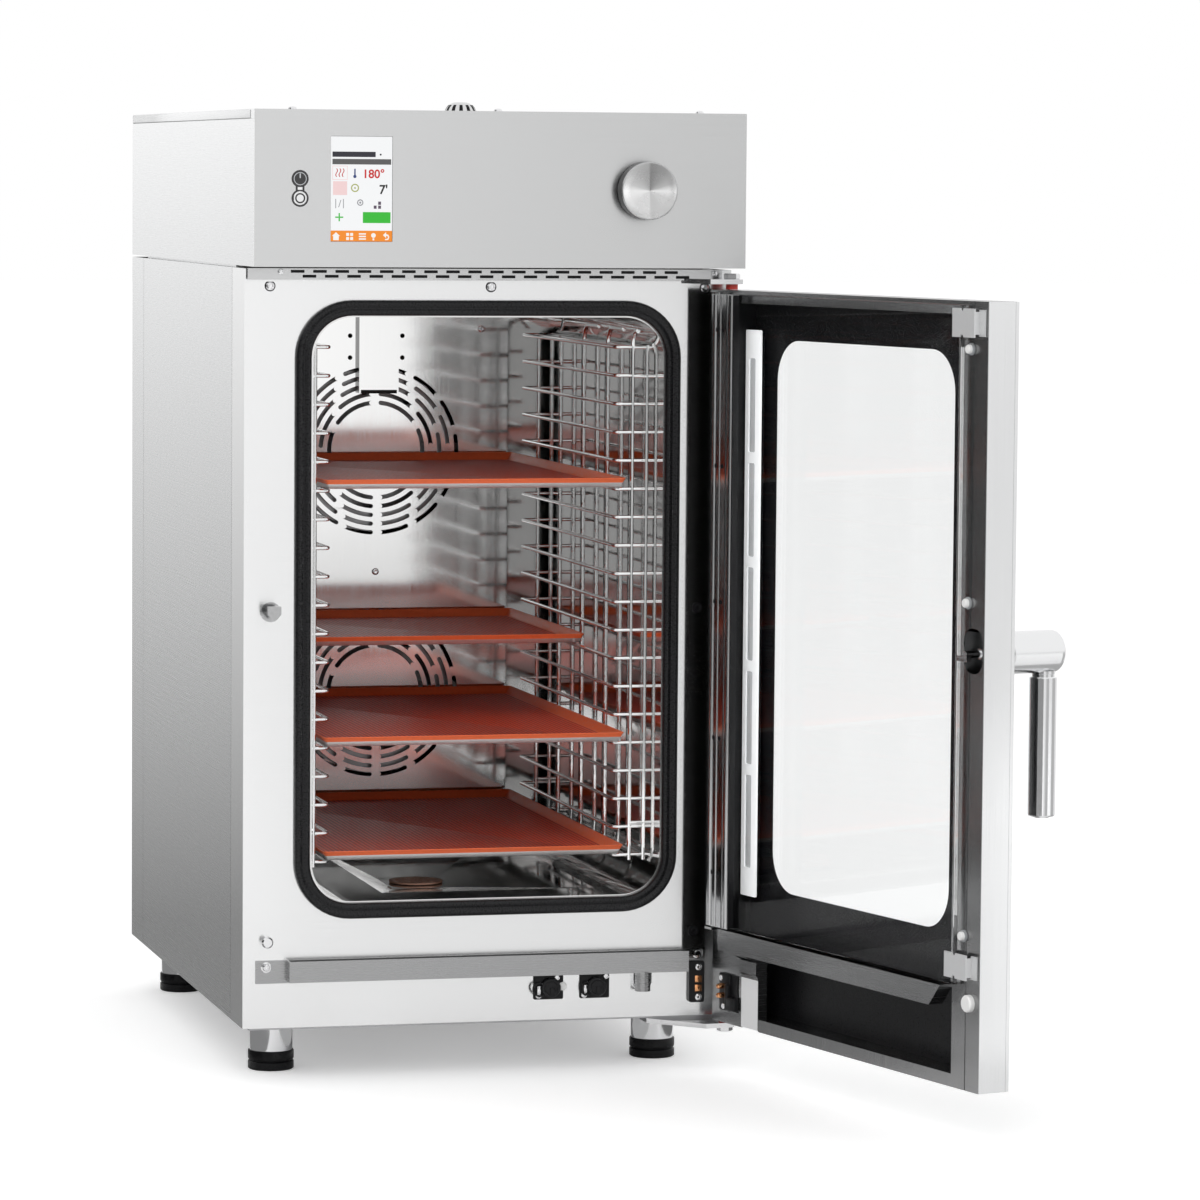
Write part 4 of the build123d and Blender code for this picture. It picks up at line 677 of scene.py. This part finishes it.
def control_knob():
    """A dark-sided dial with a brushed face in a steel rim."""
    side = [(27.5, 0), (29.4, 0.8), (30, 2.2), (30, 18.4), (29, 19), (0, 19.2)]
    add("knob_body", lathe(KNOB_AT, FORWARD, side, 96), "knob", knob_side, "knob", "control_knob")
    rim = [(29.6, 18.2), (30, 18.4), (30, 18.9), (29.7, 19.5), (29, 19.85), (28, 19.8), (28, 18.2)]
    add("knob_rim", tube(KNOB_AT, FORWARD, rim, 96), "knob", knob_edge, "knob")
    face = [(28.6, 19.3), (28.6, 19.8), (28.3, 19.9), (20, 19.8), (10, 19.75), (0, 19.7)]
    add("knob_cap", lathe(KNOB_AT, FORWARD, face, 96), "knob", knob_face_painted_sheen, "knob")


def twin_circles(radius, neck):
    """Two circles joined by a narrow neck."""
    x, low, high = BUTTON_AT
    cut = degrees(asin(neck / radius))
    outline = []
    for z, start in ((high, cut - 90), (low, cut + 90)):
        for k in range(33):
            t = radians(start + (360 - 2 * cut) * k / 32)
            outline.append((x + radius * cos(t), z + radius * sin(t)))
    return outline


def power_controls():
    """A dark frame of two joined circles: the lamp's sign above, the power button below."""
    x, low, high = BUTTON_AT
    middle = (low + high) / 2
    window = rounded_outline((x - 2.6, x + 2.6), (middle - 1.5, middle + 1.5), 0.3, 2)
    sheet = plate(twin_circles(8.75, 4.4), [circle(x, low, 7.1, 48), window], -55, 1.6, 0.1)
    fixed("power_frame", sheet, gloss_black, "bezel", "button_bezel")
    patch = plate(rounded_outline((x - 3, x + 3), (middle - 1.8, middle + 1.8), 0.3, 2), [], -54.7, 0.4)
    fixed("power_neck", patch, hub_steel, "bezel")
    ring = plate(circle(x, high, 6.6, 48), [circle(x, high, 5.9, 48)], -55.2, 0.12)
    bar = plate(rounded_outline((x - 0.6, x + 0.6), (high + 0.6, high + 5.3), 0.2, 2), [], -55.2, 0.12)
    fixed("power_sign", joined([ring, bar]), lit("lamp_sign", (0.75, 0.77, 0.8), 0.6), "bezel")
    button = lathe((x, -53.4, low), FORWARD, [(6.95, 0), (6.95, 1.7), (6.6, 2), (0, 2)], 64)
    add("power_cap", button, "button", hub_steel, "button", "power_button")
    groove = plate(circle(x, low, 5.3, 48), [circle(x, low, 3.7, 48)], -55.5, 0.12)
    add("power_groove", groove, "button", gloss_black, "button")


def screen():
    """A generic page: bars, two values beside plain icons, a start button and a row of icons."""
    x, z = SCREEN_X, SCREEN_Z
    pane = rounded_block((x[0] + 0.2, x[1] - 0.2), (-53.7, -46), (z[0] + 0.2, z[1] - 0.2), 0.5)
    fixed("screen_pane", pane, gloss_black, "screen", "display_screen")

    def bar(u0, u1, v0, v1, radius=0.2):
        return rounded_outline((x[0] + u0, x[0] + u1), (z[1] - v1, z[1] - v0), radius, 3)

    def dot(u, v, radius):
        return circle(x[0] + u, z[1] - v, radius, 24)

    def ring(u, v, radius, hole):
        return dot(u, v, radius), dot(u, v, hole)

    def shape(*points):
        return [(x[0] + u, z[1] - v) for u, v in points]

    def wave(u):
        rows = [(0.9 * sin(k * pi / 4), 33 + k * 8.6 / 8) for k in range(9)]
        return shape(*[(u + s - 0.5, v) for s, v in rows], *[(u + s + 0.5, v) for s, v in reversed(rows)])

    house = shape((5.7, 97.9), (10, 101.8), (8.7, 101.8), (8.7, 106), (2.9, 106), (2.9, 101.8), (1.6, 101.8))
    arrow = shape((54.8, 100.6), (58, 97.6), (58, 99.6), (60.3, 100.2), (61.4, 102.6), (60.4, 105.4),
                  (57, 105.8), (57, 104.6), (59.6, 104.2), (60.1, 102.8), (59.5, 101.6), (58, 101.4),
                  (58, 103.6))
    squares = [bar(u, u + 3, v, v + 3) for u in (16.4, 20.6) for v in (98.6, 102.8)]
    lines = [bar(29.6, 37, v, v + 1.4) for v in (98.8, 101.4, 104)]
    slash = shape((8, 72.5), (10.4, 65), (11.2, 65), (8.8, 72.5))
    border = bar(1.8, 17.6, 30.2, 44.6), bar(2.4, 17, 30.8, 44)
    # Each shape is an outline, or an outline with its holes; the number is the layer's height on the page.
    layers = [
        ("white", (0.93, 0.94, 0.95), 0, [bar(0.25, 64.25, 0.3, 107.2)]),
        ("ink", (0.02, 0.02, 0.03), 1, [bar(1.8, 46.8, 15.8, 21.2), dot(52, 18.6, 1)]),
        ("slate", (0.1, 0.1, 0.1), 1, [bar(1.8, 63, 23.2, 28.8)]),
        ("pink", (0.9, 0.66, 0.66), 1, [bar(2.5, 17.2, 46, 60), border]),
        ("red", (0.55, 0.03, 0.03), 2, [wave(u) for u in (6.2, 9.6, 13)]),
        ("blue", (0.03, 0.06, 0.2), 1, [bar(24.5, 26, 33, 40, 0.7), dot(25.2, 41, 1.7)]),
        ("olive", (0.42, 0.45, 0.16), 1, [ring(25.4, 52.7, 4.3, 3), dot(25.4, 52.7, 1)]),
        ("grey", (0.3, 0.3, 0.32), 2, [bar(5, 5.8, 64, 73.5), bar(13, 13.8, 64, 73.5), slash,
                                       ring(30.9, 67.6, 3.3, 2.2), dot(30.9, 67.6, 1.1)]),
        ("plum", (0.1, 0.07, 0.11), 1, [bar(45, 48, 70.5, 73.8), bar(49.6, 52.6, 66.4, 69.8),
                                        bar(49.6, 52.6, 70.5, 73.8)]),
        ("green", (0.03, 0.5, 0.03), 1, [bar(33.7, 62.6, 77.2, 88.4), bar(8.4, 9.8, 78.4, 86.8),
                                         bar(4.9, 8.3, 81.9, 83.3), bar(9.9, 13.3, 81.9, 83.3)]),
        ("orange", (0.93, 0.27, 0.015), 1, [bar(0.25, 64.25, 96.2, 107.2)]),
        ("icons", (0.95, 0.93, 0.9), 2, [house, arrow, dot(44.8, 101, 2.4), bar(43.9, 45.7, 104, 106),
                                         *squares, *lines]),
    ]
    for name, colour, level, shapes in layers:
        rings = [entry if isinstance(entry, tuple) else (entry,) for entry in shapes]
        sheets = [plate(outline, holes, -53.78 - 0.04 * level, 0.04) for outline, *holes in rings]
        fixed(f"page_{name}", joined(sheets), lit(f"page_{name}", colour), "screen")
    heat = number("180\u00b0", x[0] + 33.2, z[1] - 42.4, 12.2)
    fixed("page_heat", heat, lit("page_value", (0.6, 0.02, 0.02)), "screen")
    minutes = number("7'", x[0] + 50.6, z[1] - 58.6, 13)
    fixed("page_time", minutes, lit("page_digits", (0.01, 0.01, 0.01)), "screen")


def number(text, x, z, size):
    """Plain digits that lie on the page."""
    curve = bpy.data.curves.new("digits", "FONT")
    curve.body = text
    curve.size = size / 1000
    curve.extrude = 0.00002
    curve.offset = 0.00028
    mesh = taken(curve)
    mesh.transform(Matrix.Translation(place(x, -53.88, z)) @ UPRIGHT_PLANE)
    return mesh


def chimney():
    """The short steam pipe under a rounded hood with a hole in its top, and thin black strips on the hood as
    painted shade of its slots.
    """
    x, y, z = FLUE_AT
    profile = [(16.5, 0), (16.5, 211), (18.4, 212), (18.3, 213.5), (17.2, 217), (15.4, 220.4), (13, 223),
               (10, 225.2), (7, 226.1), (6.2, 226.2), (5.6, 225.8), (5.6, 223.5), (14.4, 213), (14.8, 0)]
    mesh = tube(FLUE_AT, UP, profile)
    fixed("flue_pipe", mesh, flue_steel, "chimney", "flue_chimney")
    # Painted shade: the slots are not cut; thin black strips on the hood stand for the dark inside them.
    slots = []
    for k in range(12):
        turn = radians(30 * k + 19.6)
        loops = []
        for radius, along in ((18.5, 213.6), (17.4, 217), (15.6, 220.6), (13.3, 223.2)):
            corners = ((radius, -0.12), (radius, 0.12), (radius - 1, 0.12), (radius - 1, -0.12))
            loops.append([place(x + r * cos(turn + a), y + r * sin(turn + a), z + along)
                          for r, a in corners])
        slots.append(bridged(loops, capped=True))
    fixed("flue_slots_painted_shade", joined(slots), black_print_and_shade, "chimney")


def head_cover():
    """The front panel up to the lid's top, its folded edges, and the lid set in behind them."""
    x, top = (-259.5, 259.5), 1012
    display = rounded_outline(SCREEN_X, SCREEN_Z, 0.4, 2)
    openings = [display, twin_circles(8.8, 4.45), circle(KNOB_AT[0], KNOB_AT[2], 5.5)]
    sheet = plate(rounded_outline(x, (851.5, top - 0.1), 0.4, 2), openings, -54.6, 0.6)
    fixed("panel_sheet", sheet, panel_steel, "front")
    lid = [rounded_block(x, (-31.6, 715), (1002.5, top), 1.0, 3),
           rounded_block((-258.2, 258.2), (-53.9, -31), (1010.4, top - 0.1), 0.3, 1)]
    lid += [rounded_block(limits, (-54, -33.4), (1001.6, top - 0.1), 0.2, 1)
            for limits in ((-259.5, -258.2), (258.2, 259.5))]
    fixed("lid_sheet", joined(lid), casing_steel, "casing", "head_lid")
    joints = [rounded_block((-258.9, 258.9), (-50, 714.4), (1001.9, 1002.6), 0.1, 1),
              rounded_block((-258.9, 258.9), (-33.6, -31.4), (1002.4, 1010.6), 0.1, 1)]
    fixed("lid_joint", joined(joints), black_plastic_and_painted_shade, "bezel")
    head = [(4.4, 0), (4.2, 1.4), (3, 2.4), (0, 2.8)]
    heads = [lathe((x, -42, top), UP, head, 24) for x in (-218, -3, 212)]
    fixed("lid_screws", joined(heads), bright_steel, "screw")


def gutter_spout():
    """A round-ended spout under the gutter's low end."""
    profile = [(0, 0), (4, 0.5), (7.4, 2.2), (9.8, 5), (10.8, 8.6), (10.8, 20)]
    mesh = lathe((168, -2.5, 88.6), UP, profile, 48)
    fixed("spout", mesh, polished, "gutter")


def sockets():
    """Moulded flanges with a raised neck, and round caps with a grip on wire straps."""
    neck = [(10.4, 2.6), (10, 5.9), (9.2, 6.1), (5.2, 6.1), (5.2, 1)]
    places = (("left", 68, (51, 83), 19), ("right", 118, (101, 133), 15))
    flanges, barrels = [], []
    for _, x, limits, _ in places:
        flanges.append(rounded_block(limits, (-3, 0), (81.7, 108), 1.6, 3))
        flanges.append(tube((x, 0, SOCKET_Z), FORWARD, neck))
        barrels.append(rounded_block((x - 14.5, x - 11), (-9.5, -6.5), (88.5, 97), 0.8))
    fixed("socket_flanges", joined(flanges), black_plastic_and_painted_shade, "socket", "service_sockets")
    stud = lathe((82, -0.2, 95.4), FORWARD, [(4.6, 0), (4.6, 3.2), (4, 3.8), (0, 3.8)], 32)
    fixed("socket_stud", stud, white_rubber, "socket")
    fixed("socket_barrels", joined(barrels), bright_steel, "socket")
    lid = [(10.2, 0), (10.5, 0.8), (10.5, 3.2), (9.6, 4.2), (7.4, 4.4), (6.6, 3.6), (0, 3.4)]
    for side, x, _, reach in places:
        cap = lathe((x, -6.3, SOCKET_Z), FORWARD, lid, 48)
        grip = rounded_block((x - 1.2, x + 4.6), (-10.9, -9.4), (86.5, 95), 0.6)
        loop = [(x - 9, -8.7, 99), (x - 13, -8.6, 100.5), (x - reach, -8.5, 97), (x - reach, -8.5, 91),
                (x - 14, -8.6, 86), (x - 9, -8.7, 87)]
        mesh = joined([cap, grip, wires([filleted(loop, 2.4)], 1.1)])
        body = f"{side}_socket_cap"
        add(f"{body}_moulding", mesh, body, black_plastic_and_painted_shade, "socket", f"socket_cap_{side}")


def lighting_contacts():
    """Two copper pads on the frame, and two copper pins on the door's block."""
    windows = [rounded_outline((225.4, 233.6), (z, z + 8), 0.4, 2) for z in (85.4, 95.2)]
    block = plate(rounded_outline((219.6, 235.6), (74.8, 118.2), 2, 5), windows, -6, 6, 0.3)
    fixed("frame_contact", block, black_plastic_and_painted_shade, "contact", "contact_block")
    pads = [rounded_block((225, 234), (-5, -3), (z - 0.3, z + 8.3), 0.4) for z in (85.4, 95.2)]
    fixed("copper_pads", joined(pads), copper, "contact")
    parts = [rounded_block((205, 239), (-19, -17.8), (73, 112), 0.5, 3),
             rounded_block((218.2, 239), (-19, -15.2), (73, 112), 1.2, 3),
             rounded_block((205, 223.5), (-19, -12.2), (74.5, 88.4), 1.6, 3),
             rounded_block((218.2, 223.5), (-19, -12.2), (74.5, 102), 1.6, 3)]
    hang("door_contact", joined(parts), "door", black_plastic_and_painted_shade, "contact", "door_contact_block")
    pins = [lathe((229.5, -15.6, z), BACKWARD, [(2.9, 0), (2.9, 6.6), (2.2, 8.4), (0.9, 9.1), (0, 9.2)], 32)
            for z in (89.3, 99.1)]
    hang("copper_pins", joined(pins), "door", copper, "contact")
    heads = [lathe((x, -15.3, z), BACKWARD, [(3.2, 0), (3.2, 0.9), (2.6, 1.5), (0, 1.5)], 24)
             for x, z in ((234, 107), (229, 77.6))]
    hang("contact_screws", joined(heads), "door", bright_steel, "contact")


def legs_and_feet():
    """Turned legs on round pads with a narrower collar and a sleeve ring."""
    pad = [(22.8, 0), (24.4, 1.2), (24.4, 8.4), (23.4, 9.4), (22.4, 9.7), (22.4, 10.6), (19, 10.9),
           (19, 13.7), (6, 13.7), (6, 50), (0, 50)]
    sleeve = [(19, 10.7), (23.6, 10.7), (24.4, 11.6), (24.4, 19.6), (23.8, 20.6), (23.1, 20.8), (23.1, 11.8),
              (19, 11.8)]
    tubes = [lathe((x, y, 14), UP, [(20, 0), (22.8, 0.4), (22.8, 43), (0, 43)], 64)
             for x in (-LEG_X, LEG_X) for _, y in LEG_DEPTHS]
    fixed("leg_turnings", joined(tubes), polished, "leg", "leg_tubes")
    for side, x in (("left", -LEG_X), ("right", LEG_X)):
        for depth, y in LEG_DEPTHS:
            mesh = joined([lathe((x, y, 0), UP, pad), tube((x, y, 0), UP, sleeve)])
            body = f"{depth}_{side}_foot"
            add(f"foot_pad_{depth}_{side}", mesh, body, foot_plastic, "foot", f"foot_{depth}_{side}")


def hinge_fittings():
    """Turned coloured bushings on the door's pins, and nuts with bevelled corners."""
    rings = []
    for low, high in ((829.3, 5.7), (57, 1.7)):
        profile = [(6.3, 0.2), (6.3, high - 0.2), (6.1, high), (4.95, high), (4.95, 0), (6.1, 0)]
        rings.append(tube((HINGE_X, HINGE_Y, low), UP, profile))
    fixed("bushing_rings", joined(rings), red_bush, "bush", "hinge_bushings")
    bolt = [(7.6, 0), (8.5, 0.8), (8.5, 5), (7.4, 5.9), (0, 5.9)]
    pins = []
    for low, high, nut in ((818, 841, 840), (51, 70, 47)):
        pin = [(4.6, 0), (4.95, 0.4), (4.95, high - low - 0.4), (4.4, high - low)]
        pins.append(lathe((HINGE_X, HINGE_Y, low), UP, pin, 32))
        pins.append(lathe((HINGE_X, HINGE_Y, nut), UP, bolt, 6, 20))
    fixed("hinge_turnings", joined(pins), bright_steel, "hinge", "hinge_pins")


# Door

def door_panes():
    """The outer glass with its printed black edge, the steel along its free edge, and the inner glass."""
    pane = rounded_block((1.2 - HALF, HALF), (-54.5, -50.5), DOOR_Z, 0.6, 2)
    outer = hang("front_pane", pane, "door", clear_glass, "outer_pane", "outer_glass")
    window = rounded_outline((-155, 188), (203.5, 778.5), 42, 10)
    border = plate(rounded_outline((1.4 - HALF, HALF - 0.6), (59.6, 828.4), 1, 2), [window], -50.45, 0.3)
    hang("pane_border", border, "door", black_print_and_shade, "outer_pane")
    trim = rounded_block((-HALF, 1.3 - HALF), (-54.5, -50), DOOR_Z, 0.4)
    hang("pane_trim", trim, "door", door_steel, "door")
    edge = rounded_block((-HALF - 0.1, 0.3 - HALF), (-50.2, -19.5), (59.1, 828.9), 0.05, 1)
    hang("door_edge", edge, "door", door_steel, "door")
    pane = rounded_block((-222, 212), (-17, -12), PANE_Z, 0.7, 2)
    inner = hang("inner_pane", pane, "inner_door", coated_glass, "inner_pane", "inner_glass")
    for piece in (outer, inner):
        piece.visible_shadow = False


def chute_face():
    """The chute's pale face below the drip channel."""
    face = rounded_block((164.6, 198.4), (-19.2, -18.6), (60, 112.5), 0.25)
    hang("chute_face", face, "door", white_sheet, "profile")


def profile_beads():
    """Rounded ribs along the inner glass's hinge profile, and a dark strip on its side."""
    z_limits = (163, 824)
    beads = []
    for x, radius, height in ((243.3, 3.2, 2.2), (231.4, 1.1, 1.0), (212, 4.6, 2.2)):
        arc = [pi * k / 10 for k in range(11)]
        outline = [(x + radius * cos(t), -5 + height * sin(t)) for t in arc]
        loops = [[place(u, v, z) for u, v in outline] for z in z_limits]
        beads.append(bridged(loops, capped=True))
    hang("profile_beads", joined(beads), "inner_door", aluminium, "profile")
    seal = rounded_block((205.2, 206.1), (-11.9, -5.1), z_limits, 0.1, 1)
    hang("profile_seal", seal, "inner_door", black_plastic_and_painted_shade, "profile")


def light_strip():
    """A pale bar, brightened by a painted glow, with five frosted windows on a dark base, and the dark lining
    beside it.
    """
    lows = [195 + 29.5 + n * 109 for n in range(5)]
    holes = [rounded_outline((209, 222.7), (low, low + 98), 2, 4) for low in lows]
    bar = plate(rounded_outline((199.5, 229.3), (195, 788), 1.2, 3), holes, -38.2, 2.2)
    hang("lamp_bar", bar, "door", lamp_frame_painted_glow, "led", "led_strip")
    panes = [rounded_block((209.2, 222.5), (-38, -37.2), (low + 0.2, low + 97.8), 0.3) for low in lows]
    hang("lamp_windows", joined(panes), "door", frosted, "led")
    dark = [rounded_block((205, 226), (-45, -38.1), (197, 786), 0.4),
            rounded_block((232.8, 233.6), (-50, -19.3), (72.5, 815.5), 0.1, 1)]
    hang("lamp_base", joined(dark), "door", black_plastic_and_painted_shade, "led")


def buffers():
    """Pale rubber studs in grey collars, and the pad that meets the stop pin."""
    studs = [lathe((BUFFER_X, -19, z), BACKWARD, [(4.4, 0.2), (4.4, 4.6), (3.6, 5.8), (0, 6)], 40)
             for z in BUFFER_HEIGHTS]
    studs.append(lathe((-243, -19, 146), BACKWARD, [(8.5, 0), (8.5, 4.4), (7.4, 5.8), (0, 6)], 48))
    hang("buffer_studs", joined(studs), "door", white_rubber, "buffer", "door_buffers")
    collars = [tube((BUFFER_X, -19, z), BACKWARD, [(6, 0), (6, 1.6), (5.4, 2.2), (4.4, 2.2), (4.4, 0)])
               for z in BUFFER_HEIGHTS]
    hang("buffer_collars", joined(collars), "door", grey_plastic, "buffer")


def hinge_profile_screws():
    """Pairs of small screws along the inner glass's hinge profile."""
    heads = [lathe((x, -5, z), BACKWARD, [(2.4, 0), (2.3, 0.5), (1.2, 0.7), (0, 0.4)], 20)
             for x in (239, 226) for z in (788, 646, 504, 361, 219)]
    hang("profile_screws", joined(heads), "inner_door", black_plastic_and_painted_shade, "profile")


def door_handle():
    """A satin hub with a polished lever hanging from it on a short collar."""
    hub_profile = [(20.2, 0), (21, 0.8), (21, 1.6), (21, 54.6), (21, 55.4), (20.4, 58.2), (18.6, 60.4),
                   (15.8, 61.9), (12, 62.6), (0, 62.7)]
    hub = lathe((HUB_X, -54.8, HUB_Z), FORWARD, hub_profile, 96, 60)
    hang("handle_hub", hub, "handle", hub_steel, "handle", "door_handle")
    lever_profile = [(0, 0), (7.6, 0.4), (8.6, 1.6), (12.6, 2), (13.5, 3.2), (13.5, 4), (13.5, 137.2),
                     (13.5, 138), (13, 138.8), (11.2, 139), (11.2, 141.6), (11.8, 142), (11.8, 145)]
    lever = lathe((HUB_X, -101.5, 323.5), UP, lever_profile, 96, 30)
    hang("handle_lever", lever, "handle", polished, "handle")


def build():
    """Every new piece, in a fixed order."""
    vent_band()
    front_screws()
    door_gasket()
    fan_baffle()
    strainer()
    side_rack("rack_wires_right", "side_rack_right", 148, 166.5, 182, (4, 50, 50))
    side_rack("rack_wires_left", "side_rack_left", -160, -175.5, -182, ())
    trays = (("top_tray", 36, 618.8), ("short_tray", 212, 438.8), ("third_tray", 36, 348.8),
             ("bottom_tray", 36, 228.8))
    for count, (body, front, base) in enumerate(trays, 1):
        tray(count, body, front, base)
    for piece in (control_knob, power_controls, screen, chimney, head_cover, gutter_spout, sockets,
                  lighting_contacts, legs_and_feet, hinge_fittings, door_panes, chute_face, profile_beads,
                  light_strip, buffers, hinge_profile_screws, door_handle):
        piece()


build()


# Studio, in metres

CAMERA_AT = (-1.2617, -5.8414, 0.9481)
CAMERA_ANGLES = (14.218, 4.526, 0.459)
LENS = 161.304


def stage_sheet(name, corners, surface):
    """A flat sheet of the studio."""
    bm = bmesh.new()
    bm.faces.new([bm.verts.new(point) for point in corners])
    mesh = baked(bm, name)
    mesh.materials.append(surface)
    made = linked(name, mesh)
    return made


def card(name, corner, across, up, low, high=None, axis="Z"):
    """A card that only reflections see, of one tone or a gradient along an axis."""
    corner, across, up = Vector(corner), Vector(across), Vector(up)
    corners = (corner, corner + across, corner + across + up, corner + up)
    surface = blank(name)
    n = Nodes(surface.node_tree)
    n.tree.nodes.clear()
    tone = low
    if high is not None:
        k = "XYZ".index(axis)
        tone = n.spread(n.axes()[axis], low, high, corner[k], corners[2][k])
    glow = n.add("ShaderNodeEmission", {"Color": (1, 1, 1, 1), "Strength": tone})
    n.add("ShaderNodeOutputMaterial", {"Surface": glow.outputs[0]})
    made = stage_sheet(name, corners, surface)
    made.visible_camera = made.visible_diffuse = made.visible_shadow = made.visible_transmission = False


def straight_rays(n):
    """One for the rays that come straight from the camera or through glass."""
    path = n.add("ShaderNodeLightPath").outputs
    return n.math("MAXIMUM", path["Is Camera Ray"], path["Is Transmission Ray"])


def background_rays(n):
    """One for the rays that show the background: straight, mirrored or through glass."""
    return n.math("MAXIMUM", straight_rays(n), n.add("ShaderNodeLightPath").outputs["Is Glossy Ray"])


def floor():
    """A wide pale floor that keeps the oven's shadow."""
    made = blank("floor")
    n, surface = opened(made)
    n.fill(surface, {
        "Roughness": 0.9,
        "Specular IOR Level": 0.0,
        "Base Color": n.tint(background_rays(n), (0.62, 0.62, 0.62), (0.97, 0.97, 0.97)),
        "Emission Color": (1, 1, 1, 1),
        "Emission Strength": n.spread(straight_rays(n), 0.0, 0.3, 0.0, 1.0),
    })
    reach = 40
    stage_sheet("floor", [(reach * x, reach * y, 0) for x, y in ((-1, -1), (1, -1), (1, 1), (-1, 1))], made)


def world():
    sky = bpy.data.worlds.new("studio")
    bpy.context.scene.world = sky
    sky.use_nodes = True
    n = Nodes(sky.node_tree)
    level = n.spread(background_rays(n), 0.8, 1.0, 0.0, 1.0)
    n.fill(sky.node_tree.nodes["Background"], {"Color": (1, 1, 1, 1), "Strength": level})


def area_light(name, where, target, size, energy):
    data = bpy.data.lights.new(name, "AREA")
    data.shape = "RECTANGLE"
    data.size, data.size_y = size
    data.energy = energy
    lamp = linked(name, data)
    lamp.location = where
    lamp.visible_glossy = False
    lamp.rotation_euler = (Vector(target) - Vector(where)).to_track_quat("-Z", "Y").to_euler()


def camera():
    """The photograph's place and lens."""
    yaw, pitch, roll = (radians(a) for a in CAMERA_ANGLES)
    level_right = Vector((cos(yaw), -sin(yaw), 0))
    level_ahead = Vector((sin(yaw), cos(yaw), 0))
    ahead = level_ahead * cos(pitch) - Vector((0, 0, sin(pitch)))
    raised = Vector((0, 0, cos(pitch))) + level_ahead * sin(pitch)
    right = level_right * cos(roll) + raised * sin(roll)
    up = raised * cos(roll) - level_right * sin(roll)
    data = bpy.data.cameras.new("camera")
    data.lens = LENS
    data.sensor_width = 36
    data.clip_end = 100
    eye = linked("camera", data)
    turn = Matrix((right, up, -ahead)).transposed().to_4x4()
    eye.matrix_world = Matrix.Translation(CAMERA_AT) @ turn
    bpy.context.scene.camera = eye


world()
floor()
card("side_card", (-1.1, 0.9, -0.02), (0.83, 0, 0), (0, 0, 1.17), 0.24, 1.16)
card("left_card", (-2.4, -2.2, 0), (0, 2.2, 0), (0, 0, 1.8), 0.02)
card("camera_card", (-4.5, -7.6, 0), (3.1, 0, 0), (0, 0, 3.2), 0.25)
card("front_card", (0.3, -7.6, 0), (3.6, 0, 0), (0, 0, 3.4), 1.22, 0.48, "X")
card("back_card", (-3.6, 0.2, 0), (1.3, 2.5, 0), (0, 0, 1.6), 0.03)
card("low_card", (-2.2, -0.4, 0.003), (1.7, 0, 0), (0, 1.6, 0), 0.03)
card("side_floor_card", (-0.9, -0.55, 0.004), (0.62, 0, 0), (0, 1.45, 0), 0.24)
card("middle_floor_card", (-0.06, -0.55, 0.004), (0.16, 0, 0), (0, 0.45, 0), 0.38)
card("right_floor_card", (0.34, -0.55, 0.004), (0.3, 0, 0), (0, 0.45, 0), 0.15)
card("front_floor_card", (-0.1, -0.7, 0.002), (0.8, 0, 0), (1.0, -6.9, 0), 0.9, 0.64, "X")
card("hub_floor_card", (0.65, -1.0, 0.003), (0.8, 0, 0), (0, 0.8, 0), 0.42)
card("lever_card_left", (-1.72, -2.1, 0), (1.644, -1.2, 0), (0, 0, 1.0), 0.3)
card("lever_card_front", (0.531, -1.339, 0.05), (0.178, 0.068, 0), (0, 0, 0.4), 0.5)
card("lever_card_right", (0.885, -1.082, 0.05), (0.051, 0.322, 0), (0, 0, 0.4), 0.5)
card("stile_card", (0.2155, -0.4, 0.12), (0.026, 0, 0), (0, 0, 0.71), 0.0)
area_light("key", (-1.8, -3.8, 2.6), (0, 0, 0.5), (3.0, 3.0), 60)
area_light("fill", (2.6, -3.8, 1.8), (0, 0, 0.4), (2.5, 2.5), 26)
camera()
bpy.context.scene.view_settings.view_transform = "Standard"
